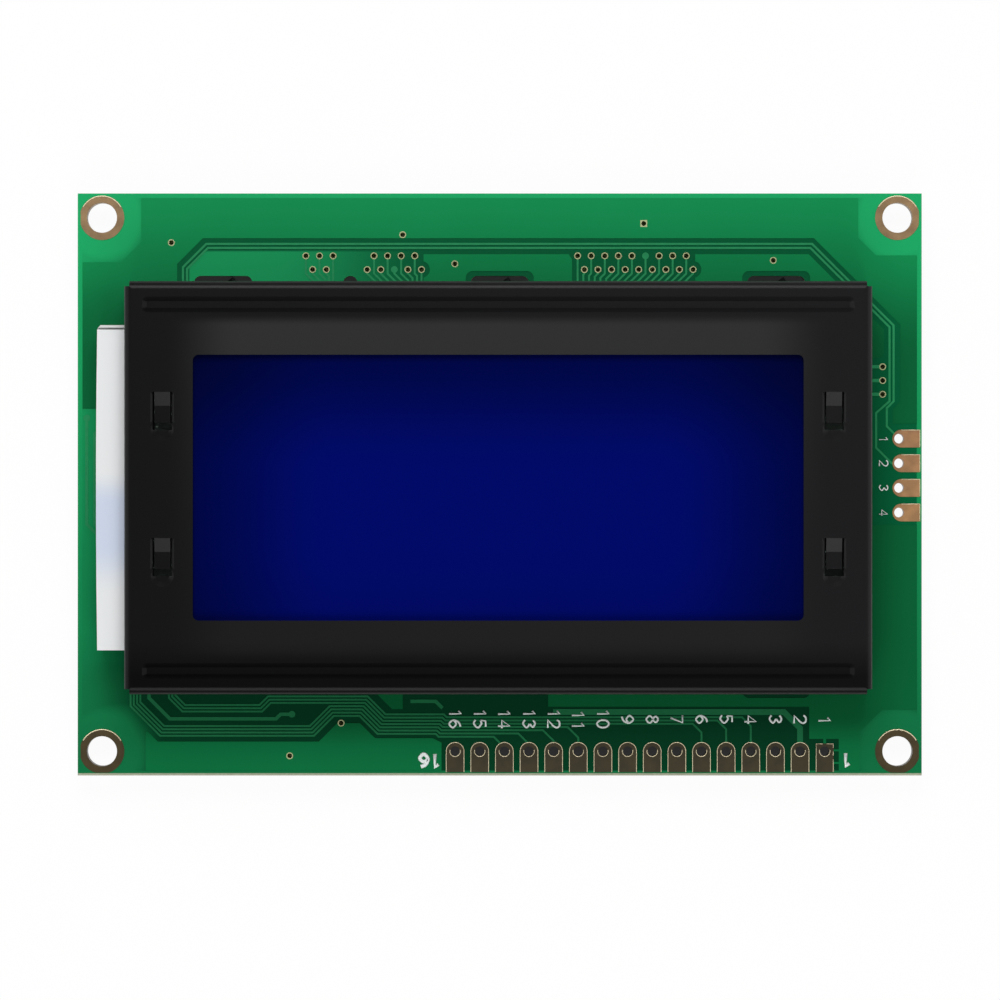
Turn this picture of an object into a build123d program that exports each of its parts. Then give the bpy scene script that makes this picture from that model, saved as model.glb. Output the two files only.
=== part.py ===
"""Character liquid crystal module, sixteen columns by four rows, side lit, on a green circuit board.

The module lies on its back. X runs along the board, Y across it and Z out of the display. The origin
is under the middle of the board, level with the ends of the bezel's tabs. Sizes are in millimetres.
"""
import os

from build123d import *

os.makedirs("parts", exist_ok=True)

# Circuit board
board_length = 87.0
board_width = 60.0
board_thickness = 1.6
tab_reach = 2.4  # the bezel's tabs stand this far out behind the board
copper = 0.05  # copper foil and the mask over it
plating = 0.05  # wall of a plated hole

board_back = tab_reach
board_front = board_back + board_thickness
mask_front = board_front + copper
right = board_length / 2
left = -right
top = board_width / 2
bottom = -top

# Mounting holes
mount_edge = 2.5  # hole centre to the board's edges
mount_bore = 3.1
mount_ring = 4.6
ring_edge_gap = 0.3  # bare laminate between a ring and the board's edge

mount_x = right - mount_edge
mount_y = top - mount_edge

# Row of sixteen pads on the bottom edge, and of four on the right edge
pad_pitch = 2.54
pad_bore = 1.0
pad_width = 1.83
header_count = 16
header_edge = 2.5
header_side = 10.0  # pin 1 to the board's right edge
header_pad_gap = 0.35
square_rise = 0.8  # square end of pin 1 above its hole
bus_count = 4
bus_edge = 2.33
bus_middle = 0.92  # middle of the four pads above the board's middle
bus_round_edge = 2.09  # centre of the pads' round end, from the board's edge
bus_pad_gap = 0.16

header_y = bottom + header_edge
header_holes = [(right - header_side - n * pad_pitch, header_y) for n in range(header_count)]
pin_one = header_holes[0][0]
last_pad = header_holes[-1][0]
bus_x = right - bus_edge
bus_holes = [(bus_x, bus_middle + ((bus_count - 1) / 2 - n) * pad_pitch) for n in range(bus_count)]

# Bezel: drawn and bent from one steel sheet
sheet = 0.5
bezel_length = 76.0
bezel_width = 42.0
bezel_height = 9.0  # above the bare board
bend_radius = 0.8
bezel_x = -0.15  # the bezel sits this far off the board's middle, within its slots
bezel_y = -0.35
window_length = 62.0
window_width = 27.0
window_corner = 0.6
press_depth = 0.45  # grooves and springs reach down this far to the glass
groove_end = 1.85  # groove's end to the bezel's short edge
groove_width = 1.6
groove_inset = 2.4  # groove's middle to the bezel's long edge
groove_slope = 45.0  # of its walls, from upright
spring_side = 3.9  # spring's middle to the bezel's short edge
spring_y = 7.42
spring_width = 1.6
spring_hinge = 2.3  # hinge above the spring's middle
spring_length = 3.15
spring_slope = 1.4
spring_gap = 0.18  # beside the spring
spring_end_gap = 0.7
dish_length = 1.1  # sloped rim past the spring's free end
dish_depth = 0.35
rim_width = 0.22  # rolled rim around a spring's opening
rim_depth = 0.15

bezel_top = board_front + bezel_height
bezel_under = bezel_top - sheet
half_length = bezel_length / 2
half_width = bezel_width / 2
groove_length = bezel_length - 2 * groove_end
spring_x = half_length - spring_side

# Tabs of the bezel and their slots in the board
tab_width = 3.0
tab_side = 9.5  # outer tab's middle to the bezel's short edge
tab_straight = 0.3  # below the board, before the twist
tab_twist_depth = 0.9
tab_twist = 38.0
slot_length = 6.0
slot_slack = 0.5  # on each side of the sheet
slot_clear = 0.5  # copper keeps this far from a slot
slot_clear_corner = 0.7

tab_spacing = half_length - tab_side
tab_offsets = [-tab_spacing, 0, tab_spacing]
slot_width = sheet + 2 * slot_slack
slot_y = half_width - sheet / 2
slots = [(x, side * slot_y) for side in (1, -1) for x in tab_offsets]
guide_place = (-15.4, slot_y)  # unplated hole between two slots
guide_hole = 1.5

# Rubber contact strips and the board's contacts under them
strip_end = 5.0  # strip's end to the bezel's short edge
strip_width = 2.4
strip_length = bezel_length - 2 * strip_end
strip_offset = half_width - groove_inset
finger_pitch = 1.0
finger_width = 0.5
finger_length = 1.8
finger_end = 2.0  # last contact to the strip's end
finger_count = int((strip_length - 2 * finger_end) / finger_pitch)

# Display cell
glass = 1.1
polariser = 0.2
cell_gap = 0.1  # sealant, drawn thicker than the few thousandths it has
cell_side_gap = 0.5  # front glass to the bezel's left and right flanges
cell_end_gap = 0.3  # and to its upper and lower ones
rear_glass_inset = 0.5
rear_glass_gap = 0.7  # rear glass to the contact strips
seal_width = 1.0

front_glass_length = bezel_length - 2 * (sheet + cell_side_gap)
front_glass_width = bezel_width - 2 * (sheet + cell_end_gap)
rear_glass_length = front_glass_length - 2 * rear_glass_inset
rear_glass_width = 2 * (strip_offset - strip_width / 2 - rear_glass_gap)
glass_front = bezel_under - press_depth
glass_back = glass_front - glass
rear_glass_front = glass_back - cell_gap
rear_glass_back = rear_glass_front - glass

# Backlight
housing_gap = 0.8  # housing to the contact strips
housing_left = 41.1  # left end, left of the board's middle
housing_right_gap = 0.45  # to the bezel's inner face
housing_wall = 1.0
housing_floor = 1.0
housing_corner = 0.35
lamp_wall = 0.6
lamp_end_rise = 5.3  # lamp end above the board's mask
lamp_film = 0.15
film_lip = 0.25
film_gap = 0.2
film_bulge = 0.12
film_tuck = 0.65  # film's inner end past the bezel's left flange
reflector = 0.2
diffuser = 0.3
optic_gap = 0.1  # films and guide inside the housing's walls
polariser_end = 3.45  # polariser to the housing's right wall
polariser_edge = 0.3  # and to its long walls
flange_gap = 0.15  # bezel's left side over the lamp end

housing_width = 2 * (strip_offset - strip_width / 2 - housing_gap)
housing_low = -housing_left
housing_high = bezel_x + half_length - sheet - housing_right_gap
step_x = bezel_x - half_length + sheet + film_tuck
lamp_top = mask_front + lamp_end_rise
film_top = lamp_top + lamp_film
optic_width = housing_width - 2 * (housing_wall + optic_gap)
reflector_back = mask_front + housing_floor
guide_back = reflector_back + reflector
guide_front = rear_glass_back - polariser - diffuser
optic_right = housing_high - housing_wall - optic_gap
polariser_length = 2 * (optic_right - polariser_end - bezel_x)
polariser_width = optic_width - 2 * polariser_edge

# Lamps: two side-firing light-emitting diodes with two leads each
lamp_spacing = 16.0
lamp_width = 4.4
lamp_depth = 2.2
lamp_height = 2.6
lamp_bottom = mask_front + 1.5
lead_width = 0.5
lead_depth = 0.4
lead_reach = 1.1  # behind the board
lead_stub = 0.2  # cut end that shows outside the wall
lead_hole = 0.9
solder_width = 1.9
solder_rise = 0.9

lead_x = housing_low + lamp_wall + lead_depth / 2
lamp_low = lead_x + lead_depth / 2
lamp_high = lamp_low + lamp_depth
guide_left = lamp_high + optic_gap
lamp_rows = [bezel_y + side * lamp_spacing / 2 for side in (1, -1)]
lead_rows = [row + side * pad_pitch / 2 for row in lamp_rows for side in (1, -1)]
lead_stub_z = lamp_bottom + lamp_height / 2

# Vias
via_bore = 0.5
via_land = 0.1  # ring beyond the hole
via_step = 0.7
via_upper = top - 6.43
via_lower = top - 7.84
via_clear = 0.86
via_ring = via_bore + 2 * via_land

# Copper pattern
pour_gap = 0.5  # bare margin along the board's edges
track = 0.2
pair_track = 0.22
lamp_track = 0.3
power_track = 0.36
wide_track = 0.6
track_step = 0.335  # side by side in a bundle
pair_step = 0.42
mount_clear_x = 4.05  # copper keeps this far from a mounting hole
mount_clear_y = 3.9
mount_clear_cut = 1.85  # slanted corner of that bare field
left_clear_y = 4.6  # and this far below the upper left hole
left_clear_cut = 2.1
band_gap = 0.58  # between the ground copper and the pair of tracks
fan_start = via_lower - 0.42
fan_reach = 1.9
fan_least = 0.42

# Parts behind the board
controller_width = 15.0
driver_width = 12.5
drop_rise = 1.7
controller_place = (6.0, -6.5)
driver_places = [(-26.0, 5.0), (-7.0, 7.5), (26.0, 5.0)]
chip_length = 2.0
chip_width = 1.25
resistor_rise = 0.5
capacitor_rise = 0.9
chip_end = 0.4  # metal end of a chip part
chip_foot = 0.3  # solder past each end
resistor_places = [(19.0 + 3.0 * n, -14.5) for n in range(5)] + [(-14.0 + 3.0 * n, -15.0) for n in range(3)]
capacitor_places = [(-22.0, -15.0), (-18.0, -15.0), (35.0, -14.5), (0.0, 14.0)]
chip_align = (Align.CENTER, Align.CENTER, Align.MAX)
routing_x = 36.0  # half the field where the chips and their tracks lie
routing_y = 18.4
pad_clear = 0.4
back_pins = slice(3, 12)
driver_step = 0.45  # between tracks where they meet a drop
controller_step = 0.7
controller_shift = 2.0
header_turn = header_y + 3.1  # where the header's tracks start to slant
link_count = 6
back_links = [
    [(6.0, -5.2), (15.0, -5.2), (22.5, 2.3), (26.0, 2.3)],
    [(2.0, -6.0), (-7.0, 3.0), (-7.0, 7.5)],
    [(-26.0, 5.2), (-7.0, 5.2)],
]


back_first_x = header_holes[back_pins][-1][0]
back_last_x = header_holes[back_pins][0][0]


def zigzag(first_x, count, low_first):
    """Vias in two rows, taken in turn."""
    rows = (via_lower, via_upper) if low_first else (via_upper, via_lower)
    return [(first_x + n * via_step, rows[n % 2]) for n in range(count)]


left_group = zigzag(-19.98, 5, False)
middle_group = zigzag(-13.66, 9, True)
right_group = zigzag(8.03, 18, False)
edge_vias = [(right - 4.02, top - 20.7 + n * 1.42) for n in range(3)]
ground_vias = [
    (-33.85, top - 5.07),
    (-10.0, top - 4.25),
    (-4.63, top - 7.25),
    (28.2, top - 6.9),
    (last_pad - 11.75, bottom + 5.4),
    (left + 21.85, bottom + 2.03),
]
square_via = (14.85, top - 3.1)
power_via = (left + 22.08, bottom + 6.32)
lamp_via = (left + 0.95, 6.84)
covered_vias = [middle_group[4], right_group[10], lamp_via, power_via]
grouped = left_group + middle_group + right_group
open_vias = [place for place in grouped if place not in covered_vias] + edge_vias + ground_vias


def beside(path, distance):
    """The same path moved to its left, with its bends kept parallel."""
    runs = [(Vector(*b) - Vector(*a)).normalized() for a, b in zip(path, path[1:])]
    sides = [Vector(-run.Y, run.X) for run in runs]
    moved = [Vector(*path[0]) + sides[0] * distance]
    for point, before, after in zip(path[1:-1], sides, sides[1:]):
        moved.append(Vector(*point) + (before + after) * (distance / (1 + before.dot(after))))
    moved.append(Vector(*path[-1]) + sides[-1] * distance)
    return [(point.X, point.Y) for point in moved]


def draw_track(path, width):
    """A strip of copper of even width along a path."""
    with BuildLine() as outline:
        Polyline(*beside(path, width / 2), *reversed(beside(path, -width / 2)), close=True)
    make_face(outline.edges())


def draw_bottom_pads(grow=0.0):
    """Pads with a round end around the hole, and a square one at pin 1."""
    pad_low = bottom + header_pad_gap
    with Locations(*header_holes[1:]):
        Circle(pad_width / 2 + grow)
    with Locations(*[(x, (header_y + pad_low) / 2) for x, _ in header_holes]):
        Rectangle(pad_width + 2 * grow, header_y - pad_low)
    with Locations((pin_one, header_y)):
        Rectangle(pad_width + 2 * grow, 2 * (square_rise + grow))


def draw_bus_pads(grow=0.0):
    """Pads on the right edge, round at their inner end."""
    round_x = right - bus_round_edge
    pad_high = right - bus_pad_gap
    with Locations(*[(round_x, y) for _, y in bus_holes]):
        Circle(pad_width / 2 + grow)
    with Locations(*[((round_x + pad_high) / 2, y) for _, y in bus_holes]):
        Rectangle(pad_high - round_x, pad_width + 2 * grow)


def draw_mount_rings():
    """Rings that stop short of the board's edges."""
    with GridLocations(2 * mount_x, 2 * mount_y, 2, 2):
        Circle(mount_ring / 2)
    Rectangle(board_length - 2 * ring_edge_gap, board_width - 2 * ring_edge_gap, mode=Mode.INTERSECT)


def draw_via_rings():
    """Round lands of the vias, and one square land."""
    with Locations(*open_vias):
        Circle(via_ring / 2)
    with Locations(square_via):
        Rectangle(via_ring, via_ring)


# Circuit board
with BuildPart() as circuit_board:
    with BuildSketch(Plane.XY.offset(board_back)):
        Rectangle(board_length, board_width)
        with GridLocations(2 * mount_x, 2 * mount_y, 2, 2):
            Circle(mount_bore / 2 + plating, mode=Mode.SUBTRACT)
        with Locations(*header_holes, *bus_holes):
            Circle(pad_bore / 2 + plating, mode=Mode.SUBTRACT)
        with Locations(*open_vias, square_via):
            Circle(via_bore / 2 + plating, mode=Mode.SUBTRACT)
        with Locations(*[(lead_x, row) for row in lead_rows]):
            Circle(lead_hole / 2, mode=Mode.SUBTRACT)
        with Locations(*slots):
            RectangleRounded(slot_length, slot_width, slot_width / 2 - 0.05, mode=Mode.SUBTRACT)
        with Locations(guide_place):
            Circle(guide_hole / 2, mode=Mode.SUBTRACT)
    extrude(amount=board_thickness)
circuit_board.part.label = "circuit_board"
export_step(circuit_board.part, "parts/circuit_board.step")

# Plated rings of the mounting holes
with BuildPart() as mounting_rings:
    for face in (board_back - copper, board_front):
        with BuildSketch(Plane.XY.offset(face)):
            draw_mount_rings()
        extrude(amount=copper)
    with BuildSketch(Plane.XY.offset(board_back)):
        with GridLocations(2 * mount_x, 2 * mount_y, 2, 2):
            Circle(mount_bore / 2 + plating)
    extrude(amount=board_thickness)
    with BuildSketch(Plane.XY.offset(board_back - copper)):
        with GridLocations(2 * mount_x, 2 * mount_y, 2, 2):
            Circle(mount_bore / 2)
    extrude(amount=board_thickness + 2 * copper, mode=Mode.SUBTRACT)
mounting_rings.part.label = "mounting_rings"
export_step(mounting_rings.part, "parts/mounting_rings.step")

# Pads of the bottom row, plated through
with BuildPart() as bottom_pads:
    for face in (board_back - copper, board_front):
        with BuildSketch(Plane.XY.offset(face)):
            draw_bottom_pads()
        extrude(amount=copper)
    with BuildSketch(Plane.XY.offset(board_back)):
        with Locations(*header_holes):
            Circle(pad_bore / 2 + plating)
    extrude(amount=board_thickness)
    with BuildSketch(Plane.XY.offset(board_back - copper)):
        with Locations(*header_holes):
            Circle(pad_bore / 2)
    extrude(amount=board_thickness + 2 * copper, mode=Mode.SUBTRACT)
bottom_pads.part.label = "bottom_pads"
export_step(bottom_pads.part, "parts/bottom_pads.step")

# Bus pads, plated through
with BuildPart() as bus_pads:
    for face in (board_back - copper, board_front):
        with BuildSketch(Plane.XY.offset(face)):
            draw_bus_pads()
        extrude(amount=copper)
    with BuildSketch(Plane.XY.offset(board_back)):
        with Locations(*bus_holes):
            Circle(pad_bore / 2 + plating)
    extrude(amount=board_thickness)
    with BuildSketch(Plane.XY.offset(board_back - copper)):
        with Locations(*bus_holes):
            Circle(pad_bore / 2)
    extrude(amount=board_thickness + 2 * copper, mode=Mode.SUBTRACT)
bus_pads.part.label = "bus_pads"
export_step(bus_pads.part, "parts/bus_pads.step")

# Vias: open at the front, closed by the mask at the back
with BuildPart() as plated_vias:
    with BuildSketch(Plane.XY.offset(board_front)):
        draw_via_rings()
    extrude(amount=copper)
    with BuildSketch(Plane.XY.offset(board_back - copper)):
        draw_via_rings()
    extrude(amount=copper)
    with BuildSketch(Plane.XY.offset(board_back)):
        with Locations(*open_vias, square_via):
            Circle(via_bore / 2 + plating)
    extrude(amount=board_thickness)
    with BuildSketch(Plane.XY.offset(board_back)):
        with Locations(*open_vias, square_via):
            Circle(via_bore / 2)
    extrude(amount=board_thickness + copper, mode=Mode.SUBTRACT)
plated_vias.part.label = "plated_vias"
export_step(plated_vias.part, "parts/plated_vias.step")

# Front ground copper: the upper field with both sides, two fields by the slots, and two on the lower edge
pour_left = left + pour_gap
pour_right = right - pour_gap
pour_top = top - pour_gap
pour_bottom = bottom + pour_gap
hidden_y = top - 9.8  # the fields end here, under the bezel
hidden_x = right - 6.7
bus_field_top = bus_holes[0][1] + 1.55
bus_field_bottom = bus_holes[-1][1] - 1.3
clear_x = mount_x - mount_clear_x
clear_y = mount_y - mount_clear_y
band_corner = right - 11.1
band_y = top - 4.62
band_side = right - 2.2
band_left = left + 10.25
lamp_field_end = 7.8

upper_field = [
    (-clear_x, pour_top),
    (clear_x, pour_top),
    (clear_x, clear_y + mount_clear_cut),
    (clear_x + mount_clear_cut, clear_y),
    (pour_right, clear_y),
    (pour_right, bus_field_top),
    (band_side - 0.75, bus_field_top),
    (band_side - 0.75, bus_field_top + 1.5),
    (band_side, bus_field_top + 2.25),
    (band_side, band_y - (band_side - band_corner)),
    (band_corner, band_y),
    (band_left + 2.65, band_y),
    (band_left, band_y - 2.65),
    (band_left, hidden_y),
    (-hidden_x, hidden_y),
    (-hidden_x, lamp_field_end),
    (pour_left, lamp_field_end),
    (pour_left, mount_y - left_clear_y),
    (-clear_x - left_clear_cut, mount_y - left_clear_y),
    (-clear_x, mount_y - left_clear_y + left_clear_cut),
]
inner_y = top - 6.27
middle_field = [(-7.85, inner_y), (7.1, inner_y), (7.45, inner_y - 0.5), (7.45, hidden_y), (-7.85, hidden_y)]
side_field_x = right - 3.9
side_field_y = top - 16.95
side_corner = right - 11.65
right_field = [
    (20.15, inner_y),
    (side_corner, inner_y),
    (side_field_x, inner_y - (side_field_x - side_corner)),
    (side_field_x, side_field_y + 0.45),
    (side_field_x - 0.45, side_field_y),
    (hidden_x, side_field_y),
    (hidden_x, hidden_y - 3.2),
    (hidden_x - 3.2, hidden_y),
    (20.15, hidden_y),
]
lower_left_field = [
    (left + 7.0, bottom + 4.5),
    (left + 7.25, bottom + 4.5),
    (left + 8.25, bottom + 3.5),
    (last_pad - 14.05, bottom + 3.5),
    (last_pad - 12.15, bottom + 5.4),
    (last_pad - 9.8, bottom + 5.4),
    (last_pad - 8.25, bottom + 3.85),
    (last_pad - 2.3, bottom + 3.85),
    (last_pad - 1.4, bottom + 3.4),
    (last_pad - 1.4, pour_bottom),
    (left + 7.0, pour_bottom),
]
pad_field_x = pin_one + 1.45
pad_field_y = header_y + 1.28
lower_right_field = [
    (pad_field_x, pour_bottom),
    (clear_x + 0.15, pour_bottom),
    (clear_x + 0.15, -clear_y - 1.9),
    (clear_x + 2.5, -clear_y + 0.4),
    (pour_right, -clear_y + 0.4),
    (pour_right, bus_field_bottom),
    (hidden_x, bus_field_bottom),
    (hidden_x, bottom + 9.2),
    (last_pad + 9.6, bottom + 9.2),
    (last_pad + 9.6, bottom + 7.1),
    (pin_one - 1.6, bottom + 7.1),
    (pin_one - 1.6, pad_field_y),
    (pad_field_x, pad_field_y),
]
small_field = [
    (last_pad - 8.05, bottom + 9.0),
    (last_pad - 8.05, bottom + 8.4),
    (last_pad - 6.5, bottom + 6.85),
    (last_pad - 5.4, bottom + 6.85),
    (last_pad - 5.4, bottom + 9.0),
]
ground_fields = [upper_field, middle_field, right_field, lower_left_field, lower_right_field, small_field]

with BuildPart() as front_ground_copper:
    with BuildSketch(Plane.XY.offset(board_front)):
        for field in ground_fields:
            with BuildLine():
                Polyline(*field, close=True)
            make_face()
        with Locations(*slots):
            RectangleRounded(
                slot_length + 2 * slot_clear,
                slot_width + 2 * slot_clear,
                slot_clear_corner,
                mode=Mode.SUBTRACT,
            )
        with Locations(middle_group[-1], right_group[-1]):
            Circle(via_clear, mode=Mode.SUBTRACT)
        with Locations(*ground_vias):
            Circle(via_ring / 2, mode=Mode.SUBTRACT)
        with Locations(square_via):
            Rectangle(via_ring, via_ring, mode=Mode.SUBTRACT)
        with Locations(*[(lead_x, row) for row in lead_rows]):
            Circle(solder_width / 2, mode=Mode.SUBTRACT)
        spoke_start = pin_one + pad_width / 2
        with Locations((spoke_start, header_y + 0.1), (spoke_start, header_y - 1.2)):
            Rectangle(pad_field_x - spoke_start, track, align=(Align.MIN, Align.CENTER))
        with Locations((pin_one, header_y + square_rise)):
            Rectangle(lamp_track, pad_field_y - header_y - square_rise, align=(Align.CENTER, Align.MIN))
    extrude(amount=copper)
front_ground_copper.part.label = "front_ground_copper"
export_step(front_ground_copper.part, "parts/front_ground_copper.step")

# Front tracks
finger_top = bezel_y + strip_offset + finger_length / 2
pair_y = band_y - band_gap
pair_side = band_side - 0.7
pair_path = [
    (band_left + 0.6, finger_top + 0.4),
    (band_left + 0.6, pair_y - 2.4),
    (band_left + 3.0, pair_y),
    (band_corner - 0.2, pair_y),
    (pair_side, pair_y - (pair_side - band_corner + 0.2)),
    (pair_side, bus_field_top + 2.3),
    (pair_side - 0.7, bus_field_top + 1.6),
    (pair_side - 0.7, bus_holes[0][1] + bus_x - pair_side + 0.7),
    (bus_x, bus_holes[0][1]),
]
inner_pair = beside(pair_path[:6], -pair_step)
inner_pair += [
    (pair_side - 1.8, bus_field_top + 1.1),
    (pair_side - 1.8, bus_holes[1][1] + 1.6),
    (pair_side - 0.2, bus_holes[1][1]),
    bus_holes[1],
]
outer_count = 4
inner_count = 3


def place_run(start, path):
    """A path whose points are given from a start along the board and from its lower edge."""
    return [(start + x, bottom + y) for x, y in path]


outer_bundle = place_run(left, [(5.45, 10.0), (5.45, 7.15), (8.5, 4.1)])
outer_bundle += place_run(last_pad, [(-14.55, 4.1), (-12.5, 6.15)])
bundle_rise = len(outer_bundle)
outer_bundle += place_run(last_pad, [(-9.85, 6.15), (-8.0, 4.3), (-2.0, 4.3), (-1.7, 4.0), (-0.4, 4.0)])
inner_bundle = place_run(left, [(9.4, 9.5), (9.4, 8.0), (10.8, 6.6), (19.01, 6.6), (19.9, 7.49)])
inner_bundle += beside(outer_bundle, outer_count * track_step)[bundle_rise:]
second_pad = header_holes[1][0]
supply_run = place_run(last_pad, [(10.1, 6.55)]) + place_run(second_pad, [(-1.66, 6.55), (0, 4.89)])
power_run = place_run(left, [(7.35, 9.0), (7.35, 8.0), (9.5, 5.85), (20.45, 5.85), (20.92, 6.32)])
short_run = place_run(last_pad, [(-4.6, 7.65), (-2.0, 7.65), (-1.3, 6.95)])
lamp_run = [(left + 0.93, 6.84), (left + 0.93, -4.1), (left + 2.0, -5.15)]
lamp_return = [(left + 2.4, 5.9), (left + 1.75, 5.25), (left + 1.75, -4.1), (left + 2.3, -4.65)]


def to_pad(path, pin, drop):
    """Ends a bundle's track on a pad, by a slanted run that starts the given distance above it."""
    pad_x = header_holes[pin - 1][0]
    level = path[-1][1]
    return path[:-1] + [(pad_x - drop, level), (pad_x, level - drop), (pad_x, header_y)]


def fan(group, lean):
    """Tracks that run down from a group of vias and draw together under the bezel."""
    step = max(fan_least, via_step - fan_reach / (len(group) - 1))
    last = len(group) - 1
    for n, (x, y) in enumerate(group):
        shift = (via_step - step) * (last - n) if lean > 0 else -(via_step - step) * n
        path = [(x, y), (x, fan_start)]
        if shift:
            path.append((x + shift, fan_start - abs(shift)))
        draw_track(path + [(x + shift, finger_top)], track)


with BuildPart() as front_tracks:
    with BuildSketch(Plane.XY.offset(board_front)):
        draw_track(pair_path, pair_track)
        draw_track(inner_pair, pair_track)
        fan(left_group, 1)
        fan(middle_group, 1)
        fan(right_group, -1)
        for n in range(outer_count):
            path = beside(outer_bundle, n * track_step)
            draw_track(to_pad(path, 14 - n, 1.1), track)
        for n in range(inner_count):
            path = beside(inner_bundle, n * track_step)
            draw_track(to_pad(path, 6 - n, 0.9), track)
        draw_track(supply_run + [header_holes[1]], wide_track)
        draw_track(power_run + [power_via], power_track)
        draw_track(short_run, power_track)
        draw_track(lamp_run, lamp_track)
        draw_track(lamp_return, lamp_track)
        for place in edge_vias:
            draw_track([place, (place[0] - 2.2, place[1])], power_track)
        with Locations(*covered_vias):
            Circle(via_ring / 2)
        with Locations(*open_vias):
            Circle(via_ring / 2, mode=Mode.SUBTRACT)
        with Locations(*[(lead_x, row) for row in lead_rows]):
            Circle(lead_hole / 2, mode=Mode.SUBTRACT)
    extrude(amount=copper)
    with BuildSketch(Plane.XY.offset(board_front)):
        draw_bottom_pads()
        draw_bus_pads()
    extrude(amount=copper, mode=Mode.SUBTRACT)
front_tracks.part.label = "front_tracks"
export_step(front_tracks.part, "parts/front_tracks.step")

# Contact fingers under the rubber strips
with BuildPart() as contact_fingers:
    with BuildSketch(Plane.XY.offset(board_front)):
        with Locations((bezel_x, bezel_y)):
            with GridLocations(finger_pitch, 2 * strip_offset, finger_count, 2):
                Rectangle(finger_width, finger_length)
    extrude(amount=copper)
contact_fingers.part.label = "contact_fingers"
export_step(contact_fingers.part, "parts/contact_fingers.step")

# Bezel: plate and four flanges, then the window, the grooves, the springs and the tabs
bezel_middle = (bezel_x, bezel_y)
relief_x = half_length - sheet - 0.05
relief_y = half_width - sheet - 0.05
wall_height = bezel_top - mask_front
notch_top = film_top + flange_gap
spring_places = [(bezel_x + a * spring_x, bezel_y + b * spring_y) for a in (1, -1) for b in (1, -1)]
opening_width = spring_width + 2 * spring_gap
opening_high = spring_hinge
opening_low = spring_hinge - spring_length - spring_end_gap
dish_radius = 0.6 * opening_width

with BuildPart() as bezel_hollow:
    with BuildSketch(Plane.XY.offset(mask_front)):
        with Locations(bezel_middle):
            Rectangle(bezel_length - 2 * sheet, bezel_width - 2 * sheet)
    extrude(amount=wall_height - sheet)
    fillet(bezel_hollow.faces().sort_by(Axis.Z)[-1].edges(), bend_radius - sheet)

with BuildPart() as metal_bezel:
    with BuildSketch(Plane.XY.offset(mask_front)):
        with Locations(bezel_middle):
            Rectangle(bezel_length, bezel_width)
    extrude(amount=wall_height)
    fillet(metal_bezel.faces().sort_by(Axis.Z)[-1].edges(), bend_radius)
    add(bezel_hollow.part, mode=Mode.SUBTRACT)
    with BuildSketch(Plane.XY.offset(mask_front)):
        with Locations(bezel_middle):
            with GridLocations(2 * half_length, 2 * half_width, 2, 2):
                Rectangle(2 * (half_length - relief_x), 2 * (half_width - relief_y))
    extrude(amount=wall_height, mode=Mode.SUBTRACT)
    with BuildSketch(Plane.XY.offset(bezel_under)):
        with Locations(bezel_middle):
            RectangleRounded(window_length, window_width, window_corner)
    extrude(amount=sheet, mode=Mode.SUBTRACT)
    for side in (1, -1):
        groove_middle = (bezel_x, bezel_y + side * (half_width - groove_inset))
        with BuildSketch(Plane.XY.offset(bezel_under)):
            with Locations(groove_middle):
                RectangleRounded(groove_length, groove_width, groove_width / 3)
        extrude(amount=-press_depth, taper=groove_slope)
        with BuildSketch(Plane.XY.offset(bezel_top)):
            with Locations(groove_middle):
                RectangleRounded(groove_length, groove_width, groove_width / 3)
        extrude(amount=-press_depth, taper=groove_slope, mode=Mode.SUBTRACT)
    for place in spring_places:
        with BuildSketch(Plane.XY.offset(bezel_under)):
            with Locations((place[0], place[1] + (opening_high + opening_low) / 2)):
                Rectangle(opening_width, opening_high - opening_low)
        extrude(amount=sheet, mode=Mode.SUBTRACT)
        with BuildSketch(Plane.XY.offset(bezel_top)):
            with Locations((place[0], place[1] + opening_high)):
                Rectangle(opening_width + 2 * rim_width, spring_length, align=(Align.CENTER, Align.MAX))
        extrude(amount=-rim_depth, taper=50, mode=Mode.SUBTRACT)
        with BuildSketch(Plane.XY.offset(bezel_top)):
            with Locations((place[0], place[1] + opening_low - dish_length + dish_radius)):
                Circle(dish_radius)
        extrude(amount=-dish_depth, taper=55, mode=Mode.SUBTRACT)
    with BuildSketch(Plane.YZ.offset(bezel_x - half_length)):
        with Locations((bezel_y, (mask_front + notch_top) / 2)):
            Rectangle(housing_width + 2 * flange_gap, notch_top - mask_front)
    extrude(amount=sheet, mode=Mode.SUBTRACT)
    for side in (1, -1):
        flange_y = bezel_y + side * (half_width - sheet / 2)
        tab_places = [(bezel_x + x, flange_y) for x in tab_offsets]
        straight_end = board_back - tab_straight
        twist_end = straight_end - tab_twist_depth
        for x, y in tab_places:
            with BuildSketch(Plane.XY.offset(mask_front)):
                with Locations((x, y)):
                    Rectangle(tab_width, sheet)
            extrude(amount=straight_end - mask_front)
            with BuildSketch(Plane.XY.offset(straight_end)):
                with Locations((x, y)):
                    Rectangle(tab_width, sheet)
            with BuildSketch(Plane.XY.offset(twist_end)):
                with Locations((x, y)):
                    Rectangle(tab_width, sheet, rotation=tab_twist)
            loft()
            with BuildSketch(Plane.XY.offset(twist_end)):
                with Locations((x, y)):
                    Rectangle(tab_width, sheet, rotation=tab_twist)
            extrude(amount=-twist_end)
    for place in spring_places:
        with BuildSketch(Plane.YZ.offset(place[0] - spring_width / 2)):
            with BuildLine():
                Polyline(
                    (place[1] + spring_hinge, bezel_top),
                    (place[1] + spring_hinge - spring_slope, bezel_top - press_depth),
                    (place[1] + spring_hinge - spring_length, bezel_top - press_depth),
                    (place[1] + spring_hinge - spring_length, bezel_under - press_depth),
                    (place[1] + spring_hinge - spring_slope, bezel_under - press_depth),
                    (place[1] + spring_hinge, bezel_under),
                    close=True,
                )
            make_face()
        extrude(amount=spring_width)
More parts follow.
